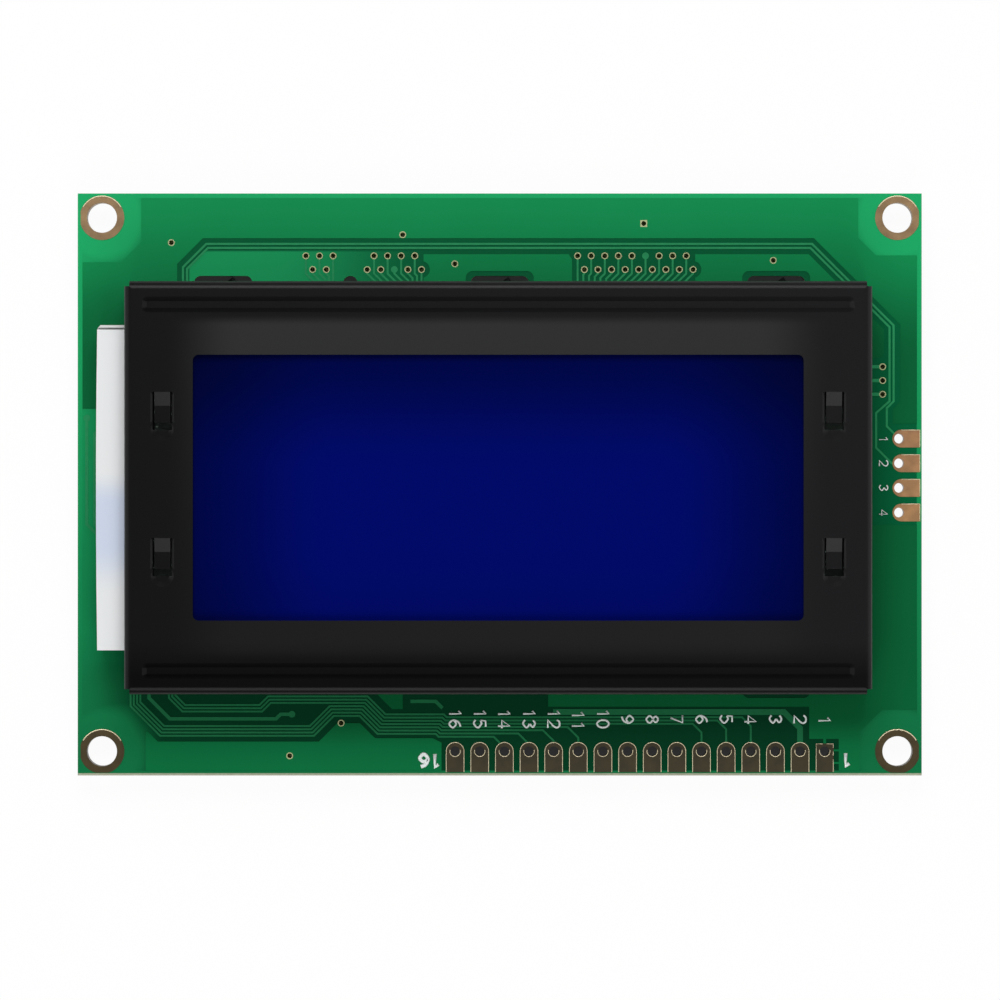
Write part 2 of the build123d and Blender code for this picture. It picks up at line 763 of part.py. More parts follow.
metal_bezel.part.label = "metal_bezel"
export_step(metal_bezel.part, "parts/metal_bezel.step")

# Display cell, from the front
with BuildPart() as front_polariser:
    with BuildSketch(Plane.XY.offset(glass_front)):
        with Locations(bezel_middle):
            Rectangle(polariser_length, polariser_width)
    extrude(amount=polariser)
front_polariser.part.label = "front_polariser"
export_step(front_polariser.part, "parts/front_polariser.step")

with BuildPart() as front_glass:
    with BuildSketch(Plane.XY.offset(glass_back)):
        with Locations(bezel_middle):
            Rectangle(front_glass_length, front_glass_width)
    extrude(amount=glass)
front_glass.part.label = "front_glass"
export_step(front_glass.part, "parts/front_glass.step")

with BuildPart() as cell_seal:
    with BuildSketch(Plane.XY.offset(rear_glass_front)):
        with Locations(bezel_middle):
            Rectangle(rear_glass_length, rear_glass_width)
            Rectangle(
                rear_glass_length - 2 * seal_width, rear_glass_width - 2 * seal_width, mode=Mode.SUBTRACT
            )
    extrude(amount=cell_gap)
cell_seal.part.label = "cell_seal"
export_step(cell_seal.part, "parts/cell_seal.step")

with BuildPart() as rear_glass:
    with BuildSketch(Plane.XY.offset(rear_glass_back)):
        with Locations(bezel_middle):
            Rectangle(rear_glass_length, rear_glass_width)
    extrude(amount=glass)
rear_glass.part.label = "rear_glass"
export_step(rear_glass.part, "parts/rear_glass.step")

with BuildPart() as rear_polariser:
    with BuildSketch(Plane.XY.offset(rear_glass_back - polariser)):
        with Locations(bezel_middle):
            Rectangle(polariser_length, polariser_width)
    extrude(amount=polariser)
rear_polariser.part.label = "rear_polariser"
export_step(rear_polariser.part, "parts/rear_polariser.step")

# Backlight: a tray with a lower lamp end that stands out of the bezel's left side
with BuildPart() as backlight_housing:
    with BuildSketch(Plane.XY.offset(mask_front)):
        with Locations(((housing_low + housing_high) / 2, bezel_y)):
            Rectangle(housing_high - housing_low, housing_width)
    extrude(amount=rear_glass_back - mask_front)
    chamfer(backlight_housing.edges().filter_by(Axis.Z).group_by(Axis.X)[0], housing_corner)
    with BuildSketch(Plane.XY.offset(film_top)):
        with Locations((step_x, bezel_y)):
            Rectangle(step_x - housing_low, housing_width, align=(Align.MAX, Align.CENTER))
    extrude(amount=rear_glass_back - film_top, mode=Mode.SUBTRACT)
    with BuildSketch(Plane.XY.offset(lamp_top)):
        with Locations((step_x, bezel_y + housing_width / 2 - film_lip)):
            Rectangle(step_x - housing_low, housing_width, align=(Align.MAX, Align.MAX))
    extrude(amount=lamp_film, mode=Mode.SUBTRACT)
    with BuildSketch(Plane.XY.offset(lamp_top - 2 * film_gap)):
        with Locations((step_x, bezel_y + housing_width / 2 - film_lip)):
            Rectangle(step_x - housing_low, film_gap, align=(Align.MAX, Align.MAX))
    extrude(amount=2 * film_gap, mode=Mode.SUBTRACT)
    with BuildSketch(Plane.XY.offset(reflector_back)):
        with Locations((housing_low + lamp_wall, bezel_y)):
            Rectangle(
                optic_right + optic_gap - housing_low - lamp_wall,
                housing_width - 2 * housing_wall,
                align=(Align.MIN, Align.CENTER),
            )
    extrude(amount=rear_glass_back - reflector_back, mode=Mode.SUBTRACT)
    with Locations(*[(lead_x, row, mask_front) for row in lead_rows]):
        Box(
            lead_depth,
            lead_width,
            housing_floor,
            align=(Align.CENTER, Align.CENTER, Align.MIN),
            mode=Mode.SUBTRACT,
        )
    with Locations(*[(housing_low, row, lead_stub_z) for row in lead_rows]):
        Box(
            lamp_wall,
            lead_width,
            lead_depth,
            align=(Align.MIN, Align.CENTER, Align.CENTER),
            mode=Mode.SUBTRACT,
        )
backlight_housing.part.label = "backlight_housing"
export_step(backlight_housing.part, "parts/backlight_housing.step")

# White film over the lamps, bowed a little at its free edge
film_high_y = bezel_y + housing_width / 2 - film_lip - film_gap
film_low_y = bezel_y - housing_width / 2
with BuildPart() as lamp_cover_film:
    with BuildSketch(Plane.XY.offset(lamp_top)):
        with BuildLine():
            Line((step_x, film_low_y), (step_x, film_high_y))
            Line((step_x, film_high_y), (housing_low, film_high_y))
            ThreePointArc(
                (housing_low, film_high_y),
                (housing_low - film_bulge, (film_high_y + film_low_y) / 2),
                (housing_low, film_low_y),
            )
            Line((housing_low, film_low_y), (step_x, film_low_y))
        make_face()
    extrude(amount=lamp_film)
lamp_cover_film.part.label = "lamp_cover_film"
export_step(lamp_cover_film.part, "parts/lamp_cover_film.step")

with BuildPart() as reflector_film:
    with BuildSketch(Plane.XY.offset(reflector_back)):
        with Locations((guide_left, bezel_y)):
            Rectangle(optic_right - guide_left, optic_width, align=(Align.MIN, Align.CENTER))
    extrude(amount=reflector)
reflector_film.part.label = "reflector_film"
export_step(reflector_film.part, "parts/reflector_film.step")

with BuildPart() as light_guide:
    with BuildSketch(Plane.XY.offset(guide_back)):
        with Locations((guide_left, bezel_y)):
            Rectangle(optic_right - guide_left, optic_width, align=(Align.MIN, Align.CENTER))
    extrude(amount=guide_front - guide_back)
light_guide.part.label = "light_guide"
export_step(light_guide.part, "parts/light_guide.step")

with BuildPart() as diffuser_film:
    with BuildSketch(Plane.XY.offset(guide_front)):
        with Locations((step_x, bezel_y)):
            Rectangle(optic_right - step_x, optic_width, align=(Align.MIN, Align.CENTER))
    extrude(amount=diffuser)
diffuser_film.part.label = "diffuser_film"
export_step(diffuser_film.part, "parts/diffuser_film.step")

# Lamps, their leads and the solder behind the board
with BuildPart() as backlight_lamps:
    with Locations(*[(lamp_low, row, lamp_bottom) for row in lamp_rows]):
        Box(lamp_depth, lamp_width, lamp_height, align=(Align.MIN, Align.CENTER, Align.MIN))
    chamfer(backlight_lamps.edges().filter_by(Axis.Z).group_by(Axis.X)[-1], lamp_depth / 6)
backlight_lamps.part.label = "backlight_lamps"
export_step(backlight_lamps.part, "parts/backlight_lamps.step")

with BuildPart() as lamp_leads:
    with Locations(*[(lead_x, row, board_back - lead_reach) for row in lead_rows]):
        Box(
            lead_depth,
            lead_width,
            lead_stub_z + lead_depth / 2 - board_back + lead_reach,
            align=(Align.CENTER, Align.CENTER, Align.MIN),
        )
    with Locations(*[(lead_x, row, lead_stub_z) for row in lead_rows]):
        Box(
            lead_x - housing_low + lead_stub,
            lead_width,
            lead_depth,
            align=(Align.MAX, Align.CENTER, Align.CENTER),
        )
lamp_leads.part.label = "lamp_leads"
export_step(lamp_leads.part, "parts/lamp_leads.step")

with BuildPart() as lamp_solder:
    with Locations(*[(lead_x, row, board_back) for row in lead_rows]):
        Cylinder(lead_hole / 2, board_thickness, align=(Align.CENTER, Align.CENTER, Align.MIN))
        Cone(
            lead_depth,
            solder_width / 2,
            solder_rise,
            align=(Align.CENTER, Align.CENTER, Align.MAX),
        )
    with Locations(*[(lead_x, row, board_back - solder_rise) for row in lead_rows]):
        Box(
            lead_depth,
            lead_width,
            board_thickness + solder_rise,
            align=(Align.CENTER, Align.CENTER, Align.MIN),
            mode=Mode.SUBTRACT,
        )
lamp_solder.part.label = "lamp_solder"
export_step(lamp_solder.part, "parts/lamp_solder.step")

# Rubber contact strips
with BuildPart() as upper_contact_strip:
    with BuildSketch(Plane.XY.offset(mask_front)):
        with Locations((bezel_x, bezel_y + strip_offset)):
            Rectangle(strip_length, strip_width)
    extrude(amount=glass_back - mask_front)
upper_contact_strip.part.label = "upper_contact_strip"
export_step(upper_contact_strip.part, "parts/upper_contact_strip.step")

with BuildPart() as lower_contact_strip:
    with BuildSketch(Plane.XY.offset(mask_front)):
        with Locations((bezel_x, bezel_y - strip_offset)):
            Rectangle(strip_length, strip_width)
    extrude(amount=glass_back - mask_front)
lower_contact_strip.part.label = "lower_contact_strip"
export_step(lower_contact_strip.part, "parts/lower_contact_strip.step")


def draw_drop(width):
    """Half the section of a drop of resin that hangs from the board's back."""
    with BuildLine() as section:
        Line((0, 0), (width / 2, 0))
        EllipticalCenterArc((0, 0), width / 2, drop_rise, start_angle=270, arc_size=90)
        Line((0, -drop_rise), (0, 0))
    make_face(section.edges())


# Resin drops over the chips
with BuildPart() as controller_drop:
    with BuildSketch(Plane((*controller_place, board_back), x_dir=(1, 0, 0), z_dir=(0, -1, 0))):
        draw_drop(controller_width)
    revolve(axis=Axis((*controller_place, 0), (0, 0, 1)))
controller_drop.part.label = "controller_drop"
export_step(controller_drop.part, "parts/controller_drop.step")

with BuildPart() as driver_drops:
    for place in driver_places:
        with BuildSketch(Plane((*place, board_back), x_dir=(1, 0, 0), z_dir=(0, -1, 0))):
            draw_drop(driver_width)
        revolve(axis=Axis((*place, 0), (0, 0, 1)))
driver_drops.part.label = "driver_drops"
export_step(driver_drops.part, "parts/driver_drops.step")

# Chip parts: a body between two metal ends
with BuildPart() as chip_resistors:
    with Locations(*[(x, y, board_back) for x, y in resistor_places]):
        Box(chip_width, chip_length - 2 * chip_end, resistor_rise, align=chip_align)
chip_resistors.part.label = "chip_resistors"
export_step(chip_resistors.part, "parts/chip_resistors.step")

with BuildPart() as chip_capacitors:
    with Locations(*[(x, y, board_back) for x, y in capacitor_places]):
        Box(chip_width, chip_length - 2 * chip_end, capacitor_rise, align=chip_align)
chip_capacitors.part.label = "chip_capacitors"
export_step(chip_capacitors.part, "parts/chip_capacitors.step")

with BuildPart() as chip_terminals:
    for places, rise in ((resistor_places, resistor_rise), (capacitor_places, capacitor_rise)):
        for side in (1, -1):
            end_y = side * (chip_length - chip_end) / 2
            foot_y = side * (chip_length + chip_foot) / 2
            with Locations(*[(x, y + end_y, board_back) for x, y in places]):
                Box(chip_width, chip_end, rise, align=chip_align)
            with Locations(*[(x, y + foot_y, board_back) for x, y in places]):
                Box(chip_width, chip_foot, rise / 3, align=chip_align)
chip_terminals.part.label = "chip_terminals"
export_step(chip_terminals.part, "parts/chip_terminals.step")

# Back ground copper: a frame around the field where the chips and their tracks lie
with BuildPart() as back_ground_copper:
    with BuildSketch(Plane.XY.offset(board_back - copper)):
        Rectangle(pour_right - pour_left, pour_top - pour_bottom)
        Rectangle(2 * routing_x, 2 * routing_y, mode=Mode.SUBTRACT)
        for group in (left_group + middle_group, right_group):
            low_x = group[0][0] - via_clear
            with Locations((low_x, routing_y)):
                Rectangle(
                    group[-1][0] + via_clear - low_x,
                    via_upper + via_clear - routing_y,
                    align=(Align.MIN, Align.MIN),
                    mode=Mode.SUBTRACT,
                )
        with Locations((back_first_x - via_clear, -routing_y)):
            Rectangle(
                back_last_x - back_first_x + 2 * via_clear,
                -routing_y - header_y,
                align=(Align.MIN, Align.MAX),
                mode=Mode.SUBTRACT,
            )
        with GridLocations(2 * mount_x, 2 * mount_y, 2, 2):
            Circle(mount_ring / 2 + pour_gap, mode=Mode.SUBTRACT)
        with Locations(*slots):
            RectangleRounded(
                slot_length + 2 * slot_clear,
                slot_width + 2 * slot_clear,
                slot_clear_corner,
                mode=Mode.SUBTRACT,
            )
        with Locations(*ground_vias):
            Circle(via_ring / 2, mode=Mode.SUBTRACT)
        with Locations(square_via):
            Rectangle(via_ring, via_ring, mode=Mode.SUBTRACT)
        with Locations(*edge_vias):
            Circle(via_ring, mode=Mode.SUBTRACT)
        with Locations(guide_place):
            Circle(guide_hole / 2 + pour_gap, mode=Mode.SUBTRACT)
        with Locations(*[(lead_x, row) for row in lead_rows]):
            Circle(solder_width / 2 + pour_gap, mode=Mode.SUBTRACT)
    extrude(amount=copper)
    with BuildSketch(Plane.XY.offset(board_back - copper)):
        draw_bottom_pads(pad_clear)
        draw_bus_pads(pad_clear)
    extrude(amount=copper, mode=Mode.SUBTRACT)
back_ground_copper.part.label = "back_ground_copper"
export_step(back_ground_copper.part, "parts/back_ground_copper.step")


def draw_drops():
    """The footprints of the resin drops."""
    with Locations(controller_place):
        Circle(controller_width / 2)
    with Locations(*driver_places):
        Circle(driver_width / 2)


def back_fan(group, drop_x, drop_y, start_y, step):
    """Tracks that slant from a row of holes towards a drop and run under it."""
    middle = (len(group) - 1) / 2
    down = 1 if drop_y > start_y else -1
    for n, (x, y) in enumerate(group):
        target = drop_x + (n - middle) * step
        path = [(x, y), (x, start_y), (target, start_y + down * abs(target - x)), (target, drop_y)]
        draw_track(path, track)


# Back tracks: from the vias and the header to the drops, and between the drops
with BuildPart() as back_tracks:
    with BuildSketch(Plane.XY.offset(board_back - copper)):
        for group, (drop_x, drop_y) in zip((left_group, middle_group, right_group), driver_places):
            open_group = [place for place in group if place in open_vias]
            back_fan(open_group, drop_x, drop_y, routing_y, driver_step)
        controller_x, controller_y = controller_place
        header_group = sorted(header_holes[back_pins])
        back_fan(header_group, controller_x + controller_shift, controller_y, header_turn, controller_step)
        for base in back_links:
            for n in range(link_count):
                draw_track(beside(base, n * pair_step), track)
    extrude(amount=copper)
    with BuildSketch(Plane.XY.offset(board_back - copper)):
        draw_drops()
        draw_bottom_pads()
        with Locations(*open_vias):
            Circle(via_ring / 2)
    extrude(amount=copper, mode=Mode.SUBTRACT)
back_tracks.part.label = "back_tracks"
export_step(back_tracks.part, "parts/back_tracks.step")
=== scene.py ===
"""Finishes and small parts of a character display module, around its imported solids.

Every place is in metres, in the frame of the solids: X along the board, Y across it and Z out of the
display.
"""
import math

import bmesh
import bpy
from bpy.props import FloatProperty, FloatVectorProperty, IntProperty, PointerProperty
from bpy.types import Operator, Panel, PropertyGroup
from mathutils import Matrix, Vector


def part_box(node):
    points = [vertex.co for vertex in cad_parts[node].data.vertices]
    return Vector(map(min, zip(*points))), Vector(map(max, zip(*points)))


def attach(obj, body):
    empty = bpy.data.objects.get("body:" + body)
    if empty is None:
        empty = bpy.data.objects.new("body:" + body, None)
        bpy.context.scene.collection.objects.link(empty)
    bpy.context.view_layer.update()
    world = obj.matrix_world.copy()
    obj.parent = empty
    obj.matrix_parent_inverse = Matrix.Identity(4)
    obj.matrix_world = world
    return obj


bl_info = {
    "name": "Character Display Module",
    "version": (1, 0, 0),
    "blender": (4, 5, 0),
    "location": "3D View > Sidebar > Display Module",
    "description": "Finishes the solids of a character display module and adds its printing and small parts",
    "category": "Object",
}

MM = 0.001
BODY = "root"
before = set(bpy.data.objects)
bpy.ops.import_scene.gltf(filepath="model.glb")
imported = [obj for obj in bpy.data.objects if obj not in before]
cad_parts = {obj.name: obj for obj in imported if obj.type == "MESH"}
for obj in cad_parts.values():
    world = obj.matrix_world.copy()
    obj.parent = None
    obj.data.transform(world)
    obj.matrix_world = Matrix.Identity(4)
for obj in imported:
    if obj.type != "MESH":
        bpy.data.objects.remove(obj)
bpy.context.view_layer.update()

# Places that the solids give
board_low, board_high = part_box("circuit_board")
mask_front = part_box("front_ground_copper")[1].z
pads_low, pads_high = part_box("bottom_pads")
bus_low, bus_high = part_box("bus_pads")
bezel_low, bezel_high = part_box("metal_bezel")
bezel_middle = (bezel_low + bezel_high) / 2

# Sizes that repeat in several parts of the board
PAD_WIDTH = 1.83 * MM
PAD_COUNT = 16
BUS_COUNT = 4
HOLE_EDGE = 2.5 * MM  # middle of a hole from the board's edge
MOUNT_RING = 4.6 * MM  # outer width of a mounting hole's ring
bottom_row_y = board_low.y + HOLE_EDGE
bottom_pitch = (pads_high.x - pads_low.x - PAD_WIDTH) / (PAD_COUNT - 1)
bottom_pads_x = [pads_high.x - PAD_WIDTH / 2 - n * bottom_pitch for n in range(PAD_COUNT)]
bus_pitch = (bus_high.y - bus_low.y - PAD_WIDTH) / (BUS_COUNT - 1)
bus_pads_y = [bus_high.y - PAD_WIDTH / 2 - n * bus_pitch for n in range(BUS_COUNT)]
mount_x = board_high.x - HOLE_EDGE
mount_y = board_high.y - HOLE_EDGE

# Painted highlights: bright lines on the pads and rings, with their angles in degrees
SQUARE_RISE = 0.8 * MM  # square end of pad 1 above its hole
SQUARE_GAP = 0.2 * MM  # half the opening in its upper line
SQUARE_DASH = 0.4 * MM  # each dash and each break in its right line
HOLE_GLINT_RADIUS = 0.54 * MM  # painted highlight, a line round a pad's hole
HOLE_GLINT_ARC = (165, 375)
RING_ARC = (25, 155)
RING_INSET = 0.06 * MM  # line inside a mounting ring's outer edge
BUS_LINE = 1.3  # widths of a pad's rim
RING_LINE = 1.4  # widths of a pad's rim
MERGE_GAP = 0.0005 * MM  # points closer than this become one

# Printed numbers
PAD_STROKE = 0.2 * MM
BUS_STROKE = 0.12 * MM
ROW_STROKE = 0.4 * MM
ROW_RISE = 1.54 * MM  # the two row numbers above the board's lower edge
ROW_LEFT = 2.72 * MM  # row number past the last pad
ROW_RIGHT = 2.3 * MM  # row number past the first pad
PRINT_SINK = 0.004 * MM  # depth of the ink in the mask

# Stage
FLOOR_SIZE = 3.0
FLOOR_WHITE = 0.95
UNDER_BOARD_PAINTED_SHADOW = 0.02  # painted shadow: glow of the floor under the board, where the pad holes look through
SIDE_SHARE = 0.14  # power of a side light, of the key light's
CAMERA_X = 0.03 * MM
CAMERA_Y = -1.6 * MM

# Digits of single strokes, one unit high: whether each stroke is curved, and its points
CURVE_STEPS = 6
DIGIT_STEP = 0.9
DIGIT_STROKES = {
    "0": [(True, [(0.32, 1), (0.6, 0.75), (0.6, 0.25), (0.32, 0), (0.04, 0.25), (0.04, 0.75), (0.32, 1)])],
    "1": [(False, [(0.12, 0.78), (0.38, 1), (0.38, 0)])],
    "2": [
        (True, [(0, 0.78), (0.12, 0.95), (0.33, 1), (0.54, 0.95), (0.64, 0.76), (0.56, 0.52)]),
        (False, [(0.56, 0.52), (0, 0), (0.66, 0)]),
    ],
    "3": [
        (True, [(0.02, 0.85), (0.3, 1), (0.6, 0.82), (0.3, 0.55)]),
        (True, [(0.3, 0.55), (0.64, 0.3), (0.3, 0), (0, 0.16)]),
    ],
    "4": [(False, [(0.5, 0), (0.5, 1), (0, 0.32), (0.68, 0.32)])],
    "5": [
        (False, [(0.58, 1), (0.08, 1), (0.04, 0.56)]),
        (True, [(0.04, 0.56), (0.33, 0.64), (0.64, 0.33), (0.3, 0), (0, 0.14)]),
    ],
    "6": [
        (True, [(0.56, 0.95), (0.2, 0.8), (0.02, 0.35), (0.32, 0), (0.64, 0.3), (0.34, 0.58), (0.04, 0.4)]),
    ],
    "7": [(False, [(0, 1), (0.64, 1), (0.22, 0)])],
    "8": [
        (True, [(0.32, 1), (0.56, 0.78), (0.32, 0.56), (0.08, 0.78), (0.32, 1)]),
        (True, [(0.32, 0.56), (0.62, 0.28), (0.32, 0), (0.02, 0.28), (0.32, 0.56)]),
    ],
    "9": [
        (True, [(0.1, 0.05), (0.46, 0.2), (0.64, 0.65), (0.34, 1), (0.02, 0.7), (0.32, 0.42), (0.62, 0.6)]),
    ],
}


def linear(text):
    """Linear colour of an sRGB hex value, with full alpha."""
    values = [int(text[n : n + 2], 16) / 255 for n in (1, 3, 5)]
    return tuple(v / 12.92 if v <= 0.04045 else ((v + 0.055) / 1.055) ** 2.4 for v in values) + (1.0,)


def per(size):
    """Scale of a pattern whose features measure this many millimetres."""
    return 1 / (size * MM)


def add_node(tree, kind, inputs=None, **settings):
    """Adds a node with its settings, its inputs set to values or linked to sockets."""
    made = tree.nodes.new(kind)
    for name, value in settings.items():
        setattr(made, name, value)
    for name, value in (inputs or {}).items():
        if isinstance(value, bpy.types.NodeSocket):
            tree.links.new(value, made.inputs[name])
        else:
            made.inputs[name].default_value = value
    return made


def start_material(name):
    """A new material, with its node tree, its shader and the coordinates of the object."""
    material = bpy.data.materials.new(name)
    material.use_nodes = True
    tree = material.node_tree
    tree.nodes.clear()
    shader = add_node(tree, "ShaderNodeBsdfPrincipled")
    add_node(tree, "ShaderNodeOutputMaterial", {0: shader.outputs[0]})
    coordinates = add_node(tree, "ShaderNodeTexCoord")
    return material, tree, shader, coordinates


def finish_shader(tree, shader, **values):
    """Sets or links the shader's inputs, named with underscores for spaces."""
    for name, value in values.items():
        socket = shader.inputs[name.replace("_", " ")]
        if isinstance(value, bpy.types.NodeSocket):
            tree.links.new(value, socket)
        else:
            socket.default_value = value


def dress(material, *names):
    """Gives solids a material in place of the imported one."""
    for name in names:
        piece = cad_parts[name]
        piece.data.materials.clear()
        piece.data.materials.append(material)


def mask_over_copper(colour, tint):
    """Liquid photo-imaged solder mask on copper foil: glossy, levelled, bright green from the foil below."""
    material, tree, shader, coordinates = start_material("solder_mask_on_copper")
    place = coordinates.outputs["Object"]
    axes = add_node(tree, "ShaderNodeSeparateXYZ", {0: place})
    cloud = add_node(tree, "ShaderNodeTexNoise", {"Vector": place, "Scale": per(9), "Detail": 2.0})
    tone = add_node(
        tree,
        "ShaderNodeMix",
        {0: cloud.outputs["Fac"], 6: (*colour, 1), 7: (*tint, 1)},
        data_type="RGBA",
    )
    # Painted light and shade: lightest along the board's upper edge, where the light falls, less so along
    # the lower one, and darkest beside the bezel, in the bezel's painted shade
    upper = add_node(
        tree,
        "ShaderNodeMapRange",
        {0: axes.outputs[1], 1: 13 * MM, 2: 27 * MM, 3: 0.44, 4: 1.0},
        interpolation_type="SMOOTHSTEP",
    )
    lower = add_node(
        tree, "ShaderNodeMapRange", {0: axes.outputs[1], 1: -27 * MM, 2: -24 * MM, 3: 0.62, 4: 0.44}
    )
    level = add_node(
        tree, "ShaderNodeMath", {0: upper.outputs[0], 1: lower.outputs[0]}, operation="MAXIMUM"
    )
    toned = add_node(
        tree, "ShaderNodeVectorMath", {0: tone.outputs[2], 1: level.outputs[0]}, operation="MULTIPLY"
    )
    grain = add_node(tree, "ShaderNodeTexNoise", {"Vector": place, "Scale": per(0.35), "Detail": 3.0})
    relief = add_node(
        tree,
        "ShaderNodeBump",
        {"Height": grain.outputs["Fac"], "Strength": 0.06, "Distance": 0.02 * MM},
    )
    finish_shader(
        tree,
        shader,
        Base_Color=toned.outputs[0],
        Roughness=0.24,
        Specular_IOR_Level=0.15,
        Normal=relief.outputs[0],
    )
    return material


def mask_over_tracks(colour):
    """The same mask over narrow tracks: a little greyer, because its layer thins at their edges, and
    lighter, partly from that and partly as a painted highlight of the glints along those edges.
    """
    material, tree, shader, coordinates = start_material("solder_mask_on_tracks")
    place = coordinates.outputs["Object"]
    grain = add_node(tree, "ShaderNodeTexNoise", {"Vector": place, "Scale": per(0.5), "Detail": 2.0})
    tone = add_node(
        tree,
        "ShaderNodeMix",
        {0: grain.outputs["Fac"], 6: (*colour, 1), 7: tuple(0.8 * c for c in colour) + (1,)},
        data_type="RGBA",
    )
    # Painted light and shade: the tracks above the bezel are lighter than the bundles below it, which are
    # darkened for the bezel's shade
    axes = add_node(tree, "ShaderNodeSeparateXYZ", {0: place})
    upper = add_node(
        tree, "ShaderNodeMapRange", {0: axes.outputs[1], 1: -21 * MM, 2: 17 * MM, 3: 0.55, 4: 1.0}
    )
    toned = add_node(
        tree, "ShaderNodeVectorMath", {0: tone.outputs[2], 1: upper.outputs[0]}, operation="MULTIPLY"
    )
    finish_shader(tree, shader, Base_Color=toned.outputs[0], Roughness=0.24, Specular_IOR_Level=0.15)
    return material


def laminate_board(dark, light, bare):
    """Glass-fibre laminate: mask on both faces, pale mottled milled edges, and a bare rim below."""
    material, tree, shader, coordinates = start_material("glass_fibre_laminate")
    place = coordinates.outputs["Object"]
    axes = add_node(tree, "ShaderNodeSeparateXYZ", {0: place})
    facing = add_node(tree, "ShaderNodeSeparateXYZ", {0: coordinates.outputs["Normal"]})
    away_x = add_node(tree, "ShaderNodeMath", {0: axes.outputs[0]}, operation="ABSOLUTE")
    away_y = add_node(tree, "ShaderNodeMath", {0: axes.outputs[1]}, operation="ABSOLUTE")
    # Near the mounting holes there is no copper on the other face either, so more light comes back
    corner_x = add_node(tree, "ShaderNodeMath", {0: away_x.outputs[0], 1: mount_x}, operation="SUBTRACT")
    corner_y = add_node(tree, "ShaderNodeMath", {0: away_y.outputs[0], 1: mount_y}, operation="SUBTRACT")
    corner = add_node(tree, "ShaderNodeCombineXYZ", {0: corner_x.outputs[0], 1: corner_y.outputs[0]})
    from_hole = add_node(tree, "ShaderNodeVectorMath", {0: corner.outputs[0]}, operation="LENGTH")
    by_hole = add_node(
        tree,
        "ShaderNodeMapRange",
        {0: from_hole.outputs["Value"], 1: 3.6 * MM, 2: 6.4 * MM, 3: 1.0, 4: 0.0},
        interpolation_type="SMOOTHSTEP",
    )
    # The field inside the slanted pair of tracks, above the bezel, is lighter towards its left end
    field_side = add_node(
        tree,
        "ShaderNodeMapRange",
        {0: axes.outputs[0], 1: -24 * MM, 2: -6 * MM, 3: 0.85, 4: 0.0},
        interpolation_type="SMOOTHSTEP",
    )
    field_left = add_node(
        tree, "ShaderNodeMapRange", {0: axes.outputs[0], 1: -32.1 * MM, 2: -31.9 * MM}
    )
    slant = add_node(
        tree, "ShaderNodeMath", {0: axes.outputs[1], 1: axes.outputs[0]}, operation="SUBTRACT"
    )
    field_slant = add_node(
        tree, "ShaderNodeMapRange", {0: slant.outputs[0], 1: 54.3 * MM, 2: 54.5 * MM, 3: 1.0, 4: 0.0}
    )
    field_low = add_node(
        tree,
        "ShaderNodeMapRange",
        {0: axes.outputs[1], 1: 17.0 * MM, 2: 20.0 * MM},
        interpolation_type="SMOOTHSTEP",
    )
    field_high = add_node(
        tree,
        "ShaderNodeMapRange",
        {0: axes.outputs[1], 1: 23.9 * MM, 2: 24.2 * MM, 3: 1.0, 4: 0.0},
        interpolation_type="SMOOTHSTEP",
    )
    field = field_low.outputs[0]
    for part in (field_high, field_side, field_left, field_slant):
        product = add_node(tree, "ShaderNodeMath", {0: field, 1: part.outputs[0]}, operation="MULTIPLY")
        field = product.outputs[0]
    # The margin along the board's edges has no copper on the other face either
    margin_x = add_node(
        tree,
        "ShaderNodeMapRange",
        {0: away_x.outputs[0], 1: board_high.x - 0.55 * MM, 2: board_high.x - 0.45 * MM},
    )
    margin_y = add_node(
        tree,
        "ShaderNodeMapRange",
        {0: away_y.outputs[0], 1: board_high.y - 0.55 * MM, 2: board_high.y - 0.45 * MM},
    )
    margin = add_node(
        tree, "ShaderNodeMath", {0: margin_x.outputs[0], 1: margin_y.outputs[0]}, operation="MAXIMUM"
    )
    open_field = add_node(
        tree, "ShaderNodeMath", {0: by_hole.outputs[0], 1: field}, operation="MAXIMUM"
    )
    # Painted shade: the strip left of the bezel is lightest at the board's left edge and darkens towards the
    # bezel and lamp housing, where their shade falls
    left_strip = add_node(
        tree,
        "ShaderNodeMapRange",
        {0: axes.outputs[0], 1: board_low.x + 0.5 * MM, 2: bezel_low.x + 2 * MM, 3: 0.85, 4: 0.0},
        interpolation_type="SMOOTHSTEP",
    )
    open_left = add_node(
        tree, "ShaderNodeMath", {0: open_field.outputs[0], 1: left_strip.outputs[0]}, operation="MAXIMUM"
    )
    clear = add_node(
        tree, "ShaderNodeMath", {0: open_left.outputs[0], 1: margin.outputs[0]}, operation="MAXIMUM"
    )
    # Painted shade: below the bezel the mask between the bundles of tracks is darker still, in the bezel's
    # shade
    lower = add_node(
        tree, "ShaderNodeMapRange", {0: axes.outputs[1], 1: -20 * MM, 2: -18 * MM, 3: 0.42, 4: 1.0}
    )
    dark_tone = add_node(
        tree, "ShaderNodeVectorMath", {0: tuple(dark), 1: lower.outputs[0]}, operation="MULTIPLY"
    )
    # Painted light: the clear laminate is lighter in the upper half, nearer the light, and darker towards
    # the lower edge
    light_level = add_node(
        tree, "ShaderNodeMapRange", {0: axes.outputs[1], 1: -26 * MM, 2: 24 * MM, 3: 0.6, 4: 1.4}
    )
    light_tone = add_node(
        tree, "ShaderNodeVectorMath", {0: tuple(light), 1: light_level.outputs[0]}, operation="MULTIPLY"
    )
    mask = add_node(
        tree,
        "ShaderNodeMix",
        {0: clear.outputs[0], 6: dark_tone.outputs[0], 7: light_tone.outputs[0]},
        data_type="RGBA",
    )
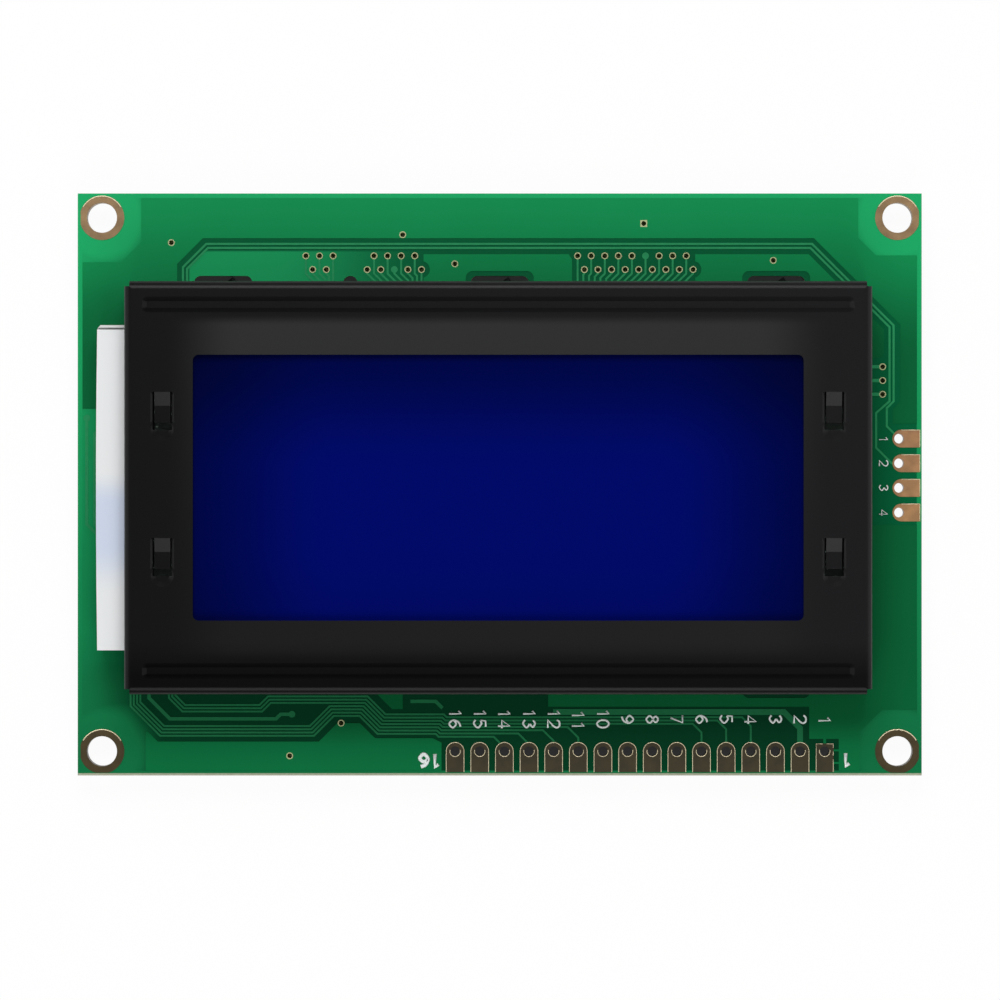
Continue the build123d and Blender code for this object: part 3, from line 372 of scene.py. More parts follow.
    # Weave of the glass cloth, half a millimetre a thread, as a faint relief
    threads = add_node(
        tree, "ShaderNodeTexBrick", {"Vector": place, "Scale": per(1.0), "Mortar Size": 0.04}
    )
    edge_noise = add_node(tree, "ShaderNodeTexNoise", {"Vector": place, "Scale": per(0.25), "Detail": 4.0})
    edge = add_node(
        tree,
        "ShaderNodeMix",
        {0: edge_noise.outputs["Fac"], 6: (*bare, 1), 7: tuple(0.6 * c for c in bare) + (1,)},
        data_type="RGBA",
    )
    rim_y = add_node(
        tree,
        "ShaderNodeMapRange",
        {0: axes.outputs[1], 1: board_low.y + 0.2 * MM, 2: board_low.y + 0.26 * MM, 3: 1.0, 4: 0.0},
    )
    upright = add_node(tree, "ShaderNodeMath", {0: facing.outputs[2]}, operation="ABSOLUTE")
    side = add_node(tree, "ShaderNodeMath", {0: upright.outputs[0], 1: 0.5}, operation="LESS_THAN")
    uncovered = add_node(
        tree, "ShaderNodeMath", {0: rim_y.outputs[0], 1: side.outputs[0]}, operation="MAXIMUM"
    )
    tone = add_node(
        tree,
        "ShaderNodeMix",
        {0: uncovered.outputs[0], 6: mask.outputs[2], 7: edge.outputs[2]},
        data_type="RGBA",
    )
    relief = add_node(
        tree, "ShaderNodeBump", {"Height": threads.outputs["Fac"], "Strength": 0.03, "Distance": 0.01 * MM}
    )
    finish_shader(
        tree,
        shader,
        Base_Color=tone.outputs[2],
        Roughness=0.26,
        Specular_IOR_Level=0.15,
        Normal=relief.outputs[0],
    )
    return material


def aged_copper(name, upper, lower, span):
    """Copper under a clear preservative, browned by heat, with a colour for each end of its span; on the
    mounting rings the two colours are painted light and shade.
    """
    material, tree, shader, coordinates = start_material(name)
    place = coordinates.outputs["Object"]
    axes = add_node(tree, "ShaderNodeSeparateXYZ", {0: place})
    height = add_node(tree, "ShaderNodeMapRange", {0: axes.outputs[1], 1: span[0], 2: span[1]})
    stain = add_node(tree, "ShaderNodeTexNoise", {"Vector": place, "Scale": per(1.2), "Detail": 5.0})
    patch = add_node(
        tree, "ShaderNodeMapRange", {0: stain.outputs["Fac"], 1: 0.35, 2: 0.7, 3: 0.78, 4: 1.12}
    )
    tone = add_node(
        tree,
        "ShaderNodeMix",
        {0: height.outputs[0], 6: (*lower, 1), 7: (*upper, 1)},
        data_type="RGBA",
    )
    mottled = add_node(
        tree, "ShaderNodeVectorMath", {0: tone.outputs[2], 1: patch.outputs[0]}, operation="MULTIPLY"
    )
    scratch = add_node(tree, "ShaderNodeTexNoise", {"Vector": place, "Scale": per(0.12), "Detail": 3.0})
    relief = add_node(
        tree, "ShaderNodeBump", {"Height": scratch.outputs["Fac"], "Strength": 0.15, "Distance": 0.01 * MM}
    )
    finish_shader(
        tree,
        shader,
        Base_Color=mottled.outputs[0],
        Metallic=0.2,
        Roughness=0.42,
        Normal=relief.outputs[0],
    )
    return material


def plain_metal(name, colour, metallic, roughness, grain):
    """A plated or tinned metal surface with a faint grain of the given size in millimetres."""
    material, tree, shader, coordinates = start_material(name)
    noise = add_node(
        tree,
        "ShaderNodeTexNoise",
        {"Vector": coordinates.outputs["Object"], "Scale": per(grain), "Detail": 4.0},
    )
    tone = add_node(
        tree,
        "ShaderNodeMix",
        {0: noise.outputs["Fac"], 6: (*colour, 1), 7: tuple(0.75 * c for c in colour) + (1,)},
        data_type="RGBA",
    )
    relief = add_node(
        tree, "ShaderNodeBump", {"Height": noise.outputs["Fac"], "Strength": 0.2, "Distance": 0.01 * MM}
    )
    finish_shader(
        tree,
        shader,
        Base_Color=tone.outputs[2],
        Metallic=metallic,
        Roughness=roughness,
        Normal=relief.outputs[0],
    )
    return material


def black_paint(colour, sheen):
    """Black satin electrophoretic paint on drawn steel: thin, with a fine orange peel, and with painted
    sheen and shade across the frame.
    """
    material, tree, shader, coordinates = start_material("black_satin_paint")
    place = coordinates.outputs["Object"]
    axes = add_node(tree, "ShaderNodeSeparateXYZ", {0: place})
    from_x = add_node(tree, "ShaderNodeMath", {0: axes.outputs[0], 1: bezel_middle.x}, operation="SUBTRACT")
    away_x = add_node(tree, "ShaderNodeMath", {0: from_x.outputs[0]}, operation="ABSOLUTE")
    from_y = add_node(tree, "ShaderNodeMath", {0: axes.outputs[1], 1: bezel_middle.y}, operation="SUBTRACT")
    away_y = add_node(tree, "ShaderNodeMath", {0: from_y.outputs[0]}, operation="ABSOLUTE")
    # Painted sheen: the plate is drawn a little outwards round the window, and the extra light it catches
    # there, strongest towards the top, is painted into its colour
    inner_x = add_node(
        tree,
        "ShaderNodeMapRange",
        {0: away_x.outputs[0], 1: 26.0 * MM, 2: 34.0 * MM, 3: 1.0, 4: 0.0},
        interpolation_type="SMOOTHSTEP",
    )
    inner_y = add_node(
        tree,
        "ShaderNodeMapRange",
        {0: away_y.outputs[0], 1: 16.4 * MM, 2: 17.6 * MM, 3: 1.0, 4: 0.0},
        interpolation_type="SMOOTHSTEP",
    )
    inner = add_node(
        tree, "ShaderNodeMath", {0: inner_x.outputs[0], 1: inner_y.outputs[0]}, operation="MULTIPLY"
    )
    upward = add_node(
        tree,
        "ShaderNodeMapRange",
        {0: axes.outputs[1], 1: -14 * MM, 2: 18 * MM, 3: 0.2, 4: 0.92},
        interpolation_type="SMOOTHSTEP",
    )
    lift = add_node(
        tree, "ShaderNodeMath", {0: inner.outputs[0], 1: upward.outputs[0]}, operation="MULTIPLY"
    )
    # Painted sheen: the right half of the frame is a little lighter than the left
    sideways = add_node(
        tree, "ShaderNodeMapRange", {0: axes.outputs[0], 1: bezel_low.x, 2: bezel_high.x, 3: 0.85, 4: 1.6}
    )
    plain = add_node(
        tree, "ShaderNodeVectorMath", {0: tuple(colour), 1: sideways.outputs[0]}, operation="MULTIPLY"
    )
    tone = add_node(
        tree,
        "ShaderNodeMix",
        {0: lift.outputs[0], 6: plain.outputs[0], 7: (*sheen, 1)},
        data_type="RGBA",
    )
    # Painted shade: the strip from the lower groove down is the darkest
    downward = add_node(
        tree, "ShaderNodeMapRange", {0: axes.outputs[1], 1: -19.5 * MM, 2: -16 * MM, 3: 0.35, 4: 1.0}
    )
    toned = add_node(
        tree, "ShaderNodeVectorMath", {0: tone.outputs[2], 1: downward.outputs[0]}, operation="MULTIPLY"
    )
    peel = add_node(tree, "ShaderNodeTexNoise", {"Vector": place, "Scale": per(0.22), "Detail": 2.0})
    relief = add_node(
        tree, "ShaderNodeBump", {"Height": peel.outputs["Fac"], "Strength": 0.12, "Distance": 0.02 * MM}
    )
    finish_shader(
        tree,
        shader,
        Base_Color=toned.outputs[0],
        Roughness=0.3,
        Specular_IOR_Level=0.12,
        Normal=relief.outputs[0],
    )
    return material


def display_film(middle, edge):
    """Polarising film over the blue negative display: deep blue, darkening to nearly black towards the
    window's edges as painted shade.
    """
    material, tree, shader, coordinates = start_material("blue_polarising_film")
    place = coordinates.outputs["Object"]
    axes = add_node(tree, "ShaderNodeSeparateXYZ", {0: place})
    from_x = add_node(tree, "ShaderNodeMath", {0: axes.outputs[0], 1: bezel_middle.x}, operation="SUBTRACT")
    away_x = add_node(tree, "ShaderNodeMath", {0: from_x.outputs[0]}, operation="ABSOLUTE")
    # Painted shade: darker towards the window's edges, where the bezel's recess shades the screen and less
    # light comes back from the cell
    fade_x = add_node(
        tree,
        "ShaderNodeMapRange",
        {0: away_x.outputs[0], 1: 16 * MM, 2: 31 * MM, 3: 1.0, 4: 0.42},
        interpolation_type="SMOOTHSTEP",
    )
    fade_top = add_node(
        tree,
        "ShaderNodeMapRange",
        {0: axes.outputs[1], 1: 1 * MM, 2: 13 * MM, 3: 1.0, 4: 0.4},
        interpolation_type="SMOOTHSTEP",
    )
    fade_bottom = add_node(
        tree,
        "ShaderNodeMapRange",
        {0: axes.outputs[1], 1: -14 * MM, 2: -6 * MM, 3: 0.85, 4: 1.0},
        interpolation_type="SMOOTHSTEP",
    )
    fade_y = add_node(
        tree, "ShaderNodeMath", {0: fade_top.outputs[0], 1: fade_bottom.outputs[0]}, operation="MULTIPLY"
    )
    fade = add_node(
        tree, "ShaderNodeMath", {0: fade_x.outputs[0], 1: fade_y.outputs[0]}, operation="MULTIPLY"
    )
    tone = add_node(
        tree,
        "ShaderNodeMix",
        {0: fade.outputs[0], 6: (*edge, 1), 7: (*middle, 1)},
        data_type="RGBA",
    )
    finish_shader(tree, shader, Base_Color=tone.outputs[2], Roughness=0.12, Specular_IOR_Level=0.15)
    return material


def clear_sheet(name, colour, roughness, index):
    """Clear glass or acrylic with a slight tint and polished faces."""
    material, tree, shader, coordinates = start_material(name)
    noise = add_node(
        tree, "ShaderNodeTexNoise", {"Vector": coordinates.outputs["Object"], "Scale": per(4), "Detail": 1.0}
    )
    relief = add_node(
        tree, "ShaderNodeBump", {"Height": noise.outputs["Fac"], "Strength": 0.02, "Distance": 0.01 * MM}
    )
    finish_shader(
        tree,
        shader,
        Base_Color=(*colour, 1),
        Transmission_Weight=1.0,
        Roughness=roughness,
        IOR=index,
        Normal=relief.outputs[0],
    )
    return material


def moulded_plastic(name, colour, roughness, grain):
    """Moulded or cast material with a fine texture of the given size in millimetres."""
    material, tree, shader, coordinates = start_material(name)
    place = coordinates.outputs["Object"]
    noise = add_node(tree, "ShaderNodeTexNoise", {"Vector": place, "Scale": per(grain), "Detail": 3.0})
    cloud = add_node(tree, "ShaderNodeTexNoise", {"Vector": place, "Scale": per(12 * grain), "Detail": 2.0})
    tone = add_node(
        tree,
        "ShaderNodeMix",
        {0: cloud.outputs["Fac"], 6: (*colour, 1), 7: tuple(0.9 * c for c in colour) + (1,)},
        data_type="RGBA",
    )
    relief = add_node(
        tree, "ShaderNodeBump", {"Height": noise.outputs["Fac"], "Strength": 0.15, "Distance": 0.02 * MM}
    )
    finish_shader(
        tree,
        shader,
        Base_Color=tone.outputs[2],
        Roughness=roughness,
        Normal=relief.outputs[0],
    )
    return material


def lamp_film(white, blue):
    """White reflecting film on the lamp end: smooth polyester, with a bluish reflection at its middle."""
    material, tree, shader, coordinates = start_material("white_reflecting_film")
    place = coordinates.outputs["Object"]
    axes = add_node(tree, "ShaderNodeSeparateXYZ", {0: place})
    upper = add_node(
        tree,
        "ShaderNodeMapRange",
        {0: axes.outputs[1], 1: -2 * MM, 2: 1.5 * MM, 3: 1.0, 4: 0.0},
        interpolation_type="SMOOTHSTEP",
    )
    lower = add_node(
        tree,
        "ShaderNodeMapRange",
        {0: axes.outputs[1], 1: -11.5 * MM, 2: -6 * MM},
        interpolation_type="SMOOTHSTEP",
    )
    band = add_node(tree, "ShaderNodeMath", {0: upper.outputs[0], 1: lower.outputs[0]}, operation="MULTIPLY")
    tone = add_node(
        tree,
        "ShaderNodeMix",
        {0: band.outputs[0], 6: (*white, 1), 7: (*blue, 1)},
        data_type="RGBA",
    )
    waves = add_node(tree, "ShaderNodeTexNoise", {"Vector": place, "Scale": per(3), "Detail": 1.0})
    relief = add_node(
        tree, "ShaderNodeBump", {"Height": waves.outputs["Fac"], "Strength": 0.2, "Distance": 0.05 * MM}
    )
    finish_shader(tree, shader, Base_Color=tone.outputs[2], Roughness=0.45, Normal=relief.outputs[0])
    return material


def layered_rubber(pale, dark):
    """Silicone contact strip: conducting carbon layers, drawn about 0.4 mm apart, in pale rubber."""
    material, tree, shader, coordinates = start_material("layered_silicone_rubber")
    layers = add_node(
        tree,
        "ShaderNodeTexWave",
        {"Vector": coordinates.outputs["Object"], "Scale": per(0.2) / (2 * math.pi)},
        bands_direction="X",
    )
    tone = add_node(
        tree,
        "ShaderNodeMix",
        {0: layers.outputs["Fac"], 6: (*pale, 1), 7: (*dark, 1)},
        data_type="RGBA",
    )
    finish_shader(tree, shader, Base_Color=tone.outputs[2], Roughness=0.6)
    return material


def print_ink(colour):
    """Screen-printed epoxy ink: matt white, a little uneven where the screen left it thin."""
    material, tree, shader, coordinates = start_material("white_screen_ink")
    noise = add_node(
        tree,
        "ShaderNodeTexNoise",
        {"Vector": coordinates.outputs["Object"], "Scale": per(0.15), "Detail": 2.0},
    )
    tone = add_node(
        tree,
        "ShaderNodeMix",
        {0: noise.outputs["Fac"], 6: (*colour, 1), 7: tuple(0.95 * c for c in colour) + (1,)},
        data_type="RGBA",
    )
    finish_shader(tree, shader, Base_Color=tone.outputs[2], Roughness=0.6)
    return material


def start_piece():
    """Leaves nothing selected, so that the next operator works on its own piece alone."""
    if bpy.context.object and bpy.context.object.mode != "OBJECT":
        bpy.ops.object.mode_set(mode="OBJECT")
    bpy.ops.object.select_all(action="DESELECT")


def choose_vertices(test):
    """Selects in edit mode the vertices whose place passes the test, and no others."""
    bpy.ops.mesh.select_all(action="DESELECT")
    shape = bmesh.from_edit_mesh(bpy.context.object.data)
    for vertex in shape.verts:
        if test(vertex.co):
            vertex.select_set(True)
    shape.select_flush_mode()
    bmesh.update_edit_mesh(bpy.context.object.data)


def wire_to_round(width):
    """Leaves edit mode and makes the active wire, a mesh of edges, into a round one of the given width."""
    bpy.ops.object.mode_set(mode="OBJECT")
    bpy.ops.object.convert(target="CURVE")
    wire = bpy.context.object
    wire.data.dimensions = "3D"
    wire.data.bevel_depth = width / 2
    wire.data.bevel_resolution = 2
    wire.data.use_fill_caps = True
    bpy.ops.object.convert(target="MESH")
    return bpy.context.object


def close_mesh(piece):
    """Merges doubled points and turns the faces outwards."""
    start_piece()
    piece.select_set(True)
    bpy.context.view_layer.objects.active = piece
    bpy.ops.object.mode_set(mode="EDIT")
    bpy.ops.mesh.select_all(action="SELECT")
    bpy.ops.mesh.remove_doubles(threshold=MERGE_GAP)
    bpy.ops.mesh.normals_make_consistent(inside=False)
    bpy.ops.object.mode_set(mode="OBJECT")


def keep_piece(piece, name, material):
    """Names a finished piece, gives it its material and slot, and fixes it to the body."""
    piece.name = name
    piece.data.name = name
    piece.data.materials.clear()
    piece.data.materials.append(material)
    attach(piece, BODY)


def copy_piece(model, name, shift):
    """Adds a copy of a finished piece with a mesh of its own, moved by a shift."""
    piece = model.copy()
    piece.data = model.data.copy()
    bpy.context.scene.collection.objects.link(piece)
    piece.data.transform(Matrix.Translation(shift))
    piece.name = name
    piece.data.name = name
    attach(piece, BODY)


def lay_lines(line, names, places, material):
    """Moves a bright line from the origin to the first place on the mask, and copies it to the others."""
    first_x, first_y = places[0]
    line.data.transform(Matrix.Translation((first_x, first_y, mask_front)))
    close_mesh(line)
    keep_piece(line, names[0], material)
    for name, (x, y) in zip(names[1:], places[1:]):
        copy_piece(line, name, Vector((x - first_x, y - first_y, 0)))


def arc_wire(radius, start, stop, steps):
    """Adds a wire along an arc about the origin, from one angle to another in degrees."""
    start_piece()
    bpy.ops.mesh.primitive_circle_add(vertices=steps, radius=radius, fill_type="NOTHING")
    bpy.ops.object.mode_set(mode="EDIT")
    middle = math.radians((start + stop) / 2)
    reach = math.cos(math.radians((stop - start) / 2))
    choose_vertices(lambda co: (co.x * math.cos(middle) + co.y * math.sin(middle)) / radius < reach - 1e-4)
    bpy.ops.mesh.delete(type="VERT")


def curve_through(points):
    """Points of a smooth curve through the given ones, closed where the last is the first."""
    closed = points[0] == points[-1]
    before = points[-2] if closed else points[0]
    after = points[1] if closed else points[-1]
    chain = [Vector(point) for point in (before, *points, after)]
    curve = []
    for a, b, c, d in zip(chain, chain[1:], chain[2:], chain[3:]):
        for n in range(CURVE_STEPS):
            t = n / CURVE_STEPS
            bend = (2 * a - 5 * b + 4 * c - d) * t**2 + (3 * b - a - 3 * c + d) * t**3
            curve.append((2 * b + (c - a) * t + bend) / 2)
    curve.append(chain[-2])
    return curve


def draw_strokes(paths, width):
    """A round wire along each path, all in one mesh."""
    start_piece()
    wires = bpy.data.curves.new("strokes", "CURVE")
    wires.dimensions = "3D"
    wires.bevel_depth = width / 2
    wires.bevel_resolution = 1
    wires.use_fill_caps = True
    for path in paths:
        spline = wires.splines.new("POLY")
        spline.points.add(len(path) - 1)
        for point, place in zip(spline.points, path):
            point.co = (place[0], place[1], 0, 1)
    piece = bpy.data.objects.new("strokes", wires)
    bpy.context.scene.collection.objects.link(piece)
    piece.select_set(True)
    bpy.context.view_layer.objects.active = piece
    bpy.ops.object.convert(target="MESH")
    return bpy.context.object


def print_number(text, height, stroke, turn, place, ink):
    """A printed number, with its digits' height, its strokes' width, its turn in degrees and its middle."""
    size = height - stroke
    paths = []
    for n, digit in enumerate(text):
        for curved, points in DIGIT_STROKES[digit]:
            line = curve_through(points) if curved else points
            paths.append([((x + DIGIT_STEP * n) * size, y * size) for x, y in line])
    label = draw_strokes(paths, stroke)
    corners = [Vector(corner) for corner in label.bound_box]
    low = Vector(map(min, *corners))
    high = Vector(map(max, *corners))
    to_middle = Matrix.Translation(-(low + high) / 2)
    to_size = Matrix.Diagonal((1, 1, ink / (high.z - low.z), 1))
    to_turn = Matrix.Rotation(math.radians(turn), 4, "Z")
    label.data.transform(Matrix.Translation(place) @ to_turn @ to_size @ to_middle)
    close_mesh(label)
    return label


class BoardSettings(PropertyGroup):
    """Colours of the circuit board."""

    copper_colour: FloatVectorProperty(
        name="Mask on Copper",
        description="Colour of the solder mask over the ground copper",
        subtype="COLOR",
        default=linear("#108b4e")[:3],
    )
    copper_tint: FloatVectorProperty(
        name="Mask on Copper, Light",
        description="Second colour of the solder mask over the ground copper, in soft clouds",
        subtype="COLOR",
        default=linear("#139053")[:3],
    )
    # Lighter than the mask on copper: partly the thinner mask at the tracks' edges, partly a painted
    # highlight of their glints
    track_colour: FloatVectorProperty(
        name="Mask on Tracks",
        description="Colour of the solder mask over the tracks",
        subtype="COLOR",
        default=linear("#2f9a62")[:3],
    )
    laminate_dark: FloatVectorProperty(
        name="Mask on Laminate",
        description="Colour of the solder mask where only the other face has copper",
        subtype="COLOR",
        default=linear("#015e37")[:3],
    )
    laminate_light: FloatVectorProperty(
        name="Mask on Clear Laminate",
        description="Colour of the solder mask where neither face has copper",
        subtype="COLOR",
        default=linear("#168e54")[:3],
    )
    edge_colour: FloatVectorProperty(
        name="Milled Edge",
        description="Colour of the bare laminate on the milled edges",
        subtype="COLOR",
        default=linear("#b9bda4")[:3],
    )


class PrintSettings(PropertyGroup):
    """Sizes of the printed numbers."""

    pad_height: FloatProperty(
        name="Pad Number Height",
        description="Height of the numbers above the bottom pads",
        subtype="DISTANCE",
        default=1.42 * MM,
    )
    pad_middle: FloatProperty(
        name="Pad Number Place",
        description="Middle of the numbers above the board's bottom edge",
        subtype="DISTANCE",
        default=5.8 * MM,
    )
    bus_height: FloatProperty(
        name="Bus Number Height",
        description="Height of the numbers beside the right pads",
        subtype="DISTANCE",
        default=1.0 * MM,
    )
    bus_middle: FloatProperty(
        name="Bus Number Place",
        description="Middle of the numbers from the board's right edge",
        subtype="DISTANCE",
        default=3.93 * MM,
    )
    end_height: FloatProperty(
        name="Row Number Height",
        description="Height of the two numbers at the ends of the bottom row",
        subtype="DISTANCE",
        default=1.75 * MM,
    )
    ink: FloatProperty(
        name="Ink",
        description="Thickness of the printed ink",
        subtype="DISTANCE",
        default=0.02 * MM,
    )
    colour: FloatVectorProperty(
        name="Ink Colour",
        description="Colour of the printed ink",
        subtype="COLOR",
        default=linear("#eef6f2")[:3],
    )


class RimSettings(PropertyGroup):
    """Sizes and colour of the painted highlights along the edges of pads and holes."""

    width: FloatProperty(
        name="Rim Width",
        description="Width of the bright edge of a pad",
        subtype="DISTANCE",
        default=0.07 * MM,
    )
    steps: IntProperty(
        name="Steps",
        description="Straight pieces in a full round rim",
        default=48,
    )
    # Painted highlight: colour of the glint along the pads' edges
    colour: FloatVectorProperty(
        name="Rim Colour",
        description="Colour of the painted glint along a pad's edge",
        subtype="COLOR",
        default=linear("#fff0c8")[:3],
    )


class BezelSettings(PropertyGroup):
    """Colours of the bezel."""

    paint: FloatVectorProperty(
        name="Paint",
        description="Colour of the bezel's paint",
        subtype="COLOR",
        default=linear("#131314")[:3],
    )
    # Painted sheen of the raised field round the window
    lifted: FloatVectorProperty(
        name="Painted Sheen by the Window",
        description="Colour of the painted sheen on the raised field round the window",
        subtype="COLOR",
        default=linear("#2e2e2f")[:3],
    )


class DisplaySettings(PropertyGroup):
    """Colours of the display."""

    middle: FloatVectorProperty(
        name="Screen",
        description="Colour of the screen at its middle",
        subtype="COLOR",
        default=linear("#000a66")[:3],
    )
    # Painted shade: the screen's colour at the window's edges
    edge: FloatVectorProperty(
        name="Screen Edge",
        description="Colour of the screen at its edges",
        subtype="COLOR",
        default=linear("#00041c")[:3],
    )


class StageSettings(PropertyGroup):
    """Light and camera."""

    camera_height: FloatProperty(
        name="Camera Height",
        description="Height of the camera above the floor",
        subtype="DISTANCE",
        default=0.575,
    )
    lens: FloatProperty(
        name="Lens",
        description="Focal length of the camera in millimetres",
        default=199.4,
    )
    key_power: FloatProperty(
        name="Key Light",
        description="Power of the large light past the board's upper edge",
        subtype="POWER",
        default=1.05,
    )
    fill_power: FloatProperty(
        name="Fill Light",
        description="Power of the light past the board's lower edge",
        subtype="POWER",
        default=0.6,
    )
    world_level: FloatProperty(
        name="Surroundings",
        description="Level of the light that comes from all sides",
        default=0.3,
    )


class MODULE_OT_finish_board(Operator):
    """Finish the circuit board, its copper and its pads"""

    bl_idname = "display_module.finish_board"
    bl_label = "Finish Board"

    def execute(self, context):
        settings = context.scene.module_board
        copper = mask_over_copper(settings.copper_colour, settings.copper_tint)
        dress(copper, "front_ground_copper", "back_ground_copper")
        dress(mask_over_tracks(settings.track_colour), "front_tracks", "back_tracks")
        board = laminate_board(settings.laminate_dark, settings.laminate_light, settings.edge_colour)
        dress(board, "circuit_board")
        # Painted light and shade: the rings are light at their upper end and dark at their lower end
        rings = aged_copper(
            "aged_ring_copper_painted_shade", linear("#947752")[:3], linear("#443718")[:3], (-mount_y, mount_y)
        )
        dress(rings, "mounting_rings")
        # Painted shade: the bottom pads are browned, and also darkened for the shade below the bezel
        bottom = aged_copper(
            "aged_pad_copper_painted_shade", linear("#3b331a")[:3], linear("#3d351d")[:3], (board_low.y, bottom_row_y)
        )
        dress(bottom, "bottom_pads")
        bus = aged_copper(
            "bright_pad_copper", linear("#a67a53")[:3], linear("#b4885a")[:3], (bus_low.y, bus_high.y)
        )
        dress(bus, "bus_pads")
        dress(plain_metal("tinned_via", linear("#c9cf9a")[:3], 0.2, 0.4, 0.1), "plated_vias")
        dress(plain_metal("gold_contact", linear("#d9b35a")[:3], 1.0, 0.25, 0.2), "contact_fingers")
        return {"FINISHED"}


class MODULE_OT_finish_bezel(Operator):
    """Finish the steel bezel"""

    bl_idname = "display_module.finish_bezel"
    bl_label = "Finish Bezel"

    def execute(self, context):
        settings = context.scene.module_bezel
        dress(black_paint(settings.paint, settings.lifted), "metal_bezel")
        return {"FINISHED"}


class MODULE_OT_finish_display(Operator):
    """Finish the display cell and the rubber strips"""

    bl_idname = "display_module.finish_display"
    bl_label = "Finish Display"

    def execute(self, context):
        settings = context.scene.module_display
        dress(display_film(settings.middle, settings.edge), "front_polariser")
        dress(clear_sheet("soda_lime_glass", linear("#dfe8e4")[:3], 0.02, 1.52), "front_glass", "rear_glass")
        dress(moulded_plastic("cured_sealant", linear("#c9c9bd")[:3], 0.4, 0.3), "cell_seal")
        dress(moulded_plastic("dark_polarising_film", linear("#141620")[:3], 0.3, 0.5), "rear_polariser")
        strips = layered_rubber(linear("#d6a7b0")[:3], linear("#1a1a1c")[:3])
        dress(strips, "upper_contact_strip", "lower_contact_strip")
        return {"FINISHED"}


class MODULE_OT_finish_backlight(Operator):
    """Finish the backlight, its films and its lamps"""

    bl_idname = "display_module.finish_backlight"
    bl_label = "Finish Backlight"

    def execute(self, context):
        dress(moulded_plastic("white_moulded_plastic", linear("#dcdedd")[:3], 0.5, 0.2), "backlight_housing")
        dress(lamp_film(linear("#e8eaeb")[:3], linear("#cdd7ea")[:3]), "lamp_cover_film")
        backing = moulded_plastic("white_backing_film", linear("#e6e6e4")[:3], 0.6, 0.3)
        dress(backing, "reflector_film", "diffuser_film")
        dress(clear_sheet("cast_acrylic", linear("#eef3f3")[:3], 0.03, 1.49), "light_guide")
        dress(moulded_plastic("white_lamp_body", linear("#e8e6d8")[:3], 0.35, 0.2), "backlight_lamps")
        dress(plain_metal("tinned_wire", linear("#c8c8c8")[:3], 1.0, 0.3, 0.15), "lamp_leads")
        dress(plain_metal("solder_fillet", linear("#b9babb")[:3], 1.0, 0.22, 0.3), "lamp_solder")
        return {"FINISHED"}


class MODULE_OT_finish_back(Operator):
    """Finish the parts behind the board"""

    bl_idname = "display_module.finish_back"
    bl_label = "Finish Back"

    def execute(self, context):
        resin = moulded_plastic("black_epoxy_resin", linear("#131314")[:3], 0.22, 0.8)
        dress(resin, "controller_drop", "driver_drops")
        dress(moulded_plastic("glazed_resistor", linear("#17171a")[:3], 0.3, 0.2), "chip_resistors")
        dress(moulded_plastic("tan_ceramic", linear("#a3835a")[:3], 0.45, 0.1), "chip_capacitors")
        dress(plain_metal("tinned_terminal", linear("#bfc0c0")[:3], 1.0, 0.3, 0.2), "chip_terminals")
        return {"FINISHED"}


class MODULE_OT_print_numbers(Operator):
    """Print the numbers of the pads"""

    bl_idname = "display_module.print_numbers"
    bl_label = "Print Numbers"

    def execute(self, context):
        settings = context.scene.module_print
        ink = print_ink(settings.colour)
        level = mask_front + settings.ink / 2 - PRINT_SINK
        for number, x in enumerate(bottom_pads_x, 1):
            place = Vector((x, board_low.y + settings.pad_middle, level))
            label = print_number(str(number), settings.pad_height, PAD_STROKE, -90, place, settings.ink)
            keep_piece(label, f"pad_number_{number:02d}", ink)
        for number, y in enumerate(bus_pads_y, 1):
            place = Vector((board_high.x - settings.bus_middle, y, level))
            label = print_number(str(number), settings.bus_height, BUS_STROKE, -90, place, settings.ink)
            keep_piece(label, f"bus_number_{number}", ink)
        ends = ((PAD_COUNT, bottom_pads_x[-1] - ROW_LEFT), (1, bottom_pads_x[0] + ROW_RIGHT))
        for number, x in ends:
            place = Vector((x, board_low.y + ROW_RISE, level))
            label = print_number(str(number), settings.end_height, ROW_STROKE, 180, place, settings.ink)
            keep_piece(label, f"row_number_{number:02d}", ink)
        return {"FINISHED"}


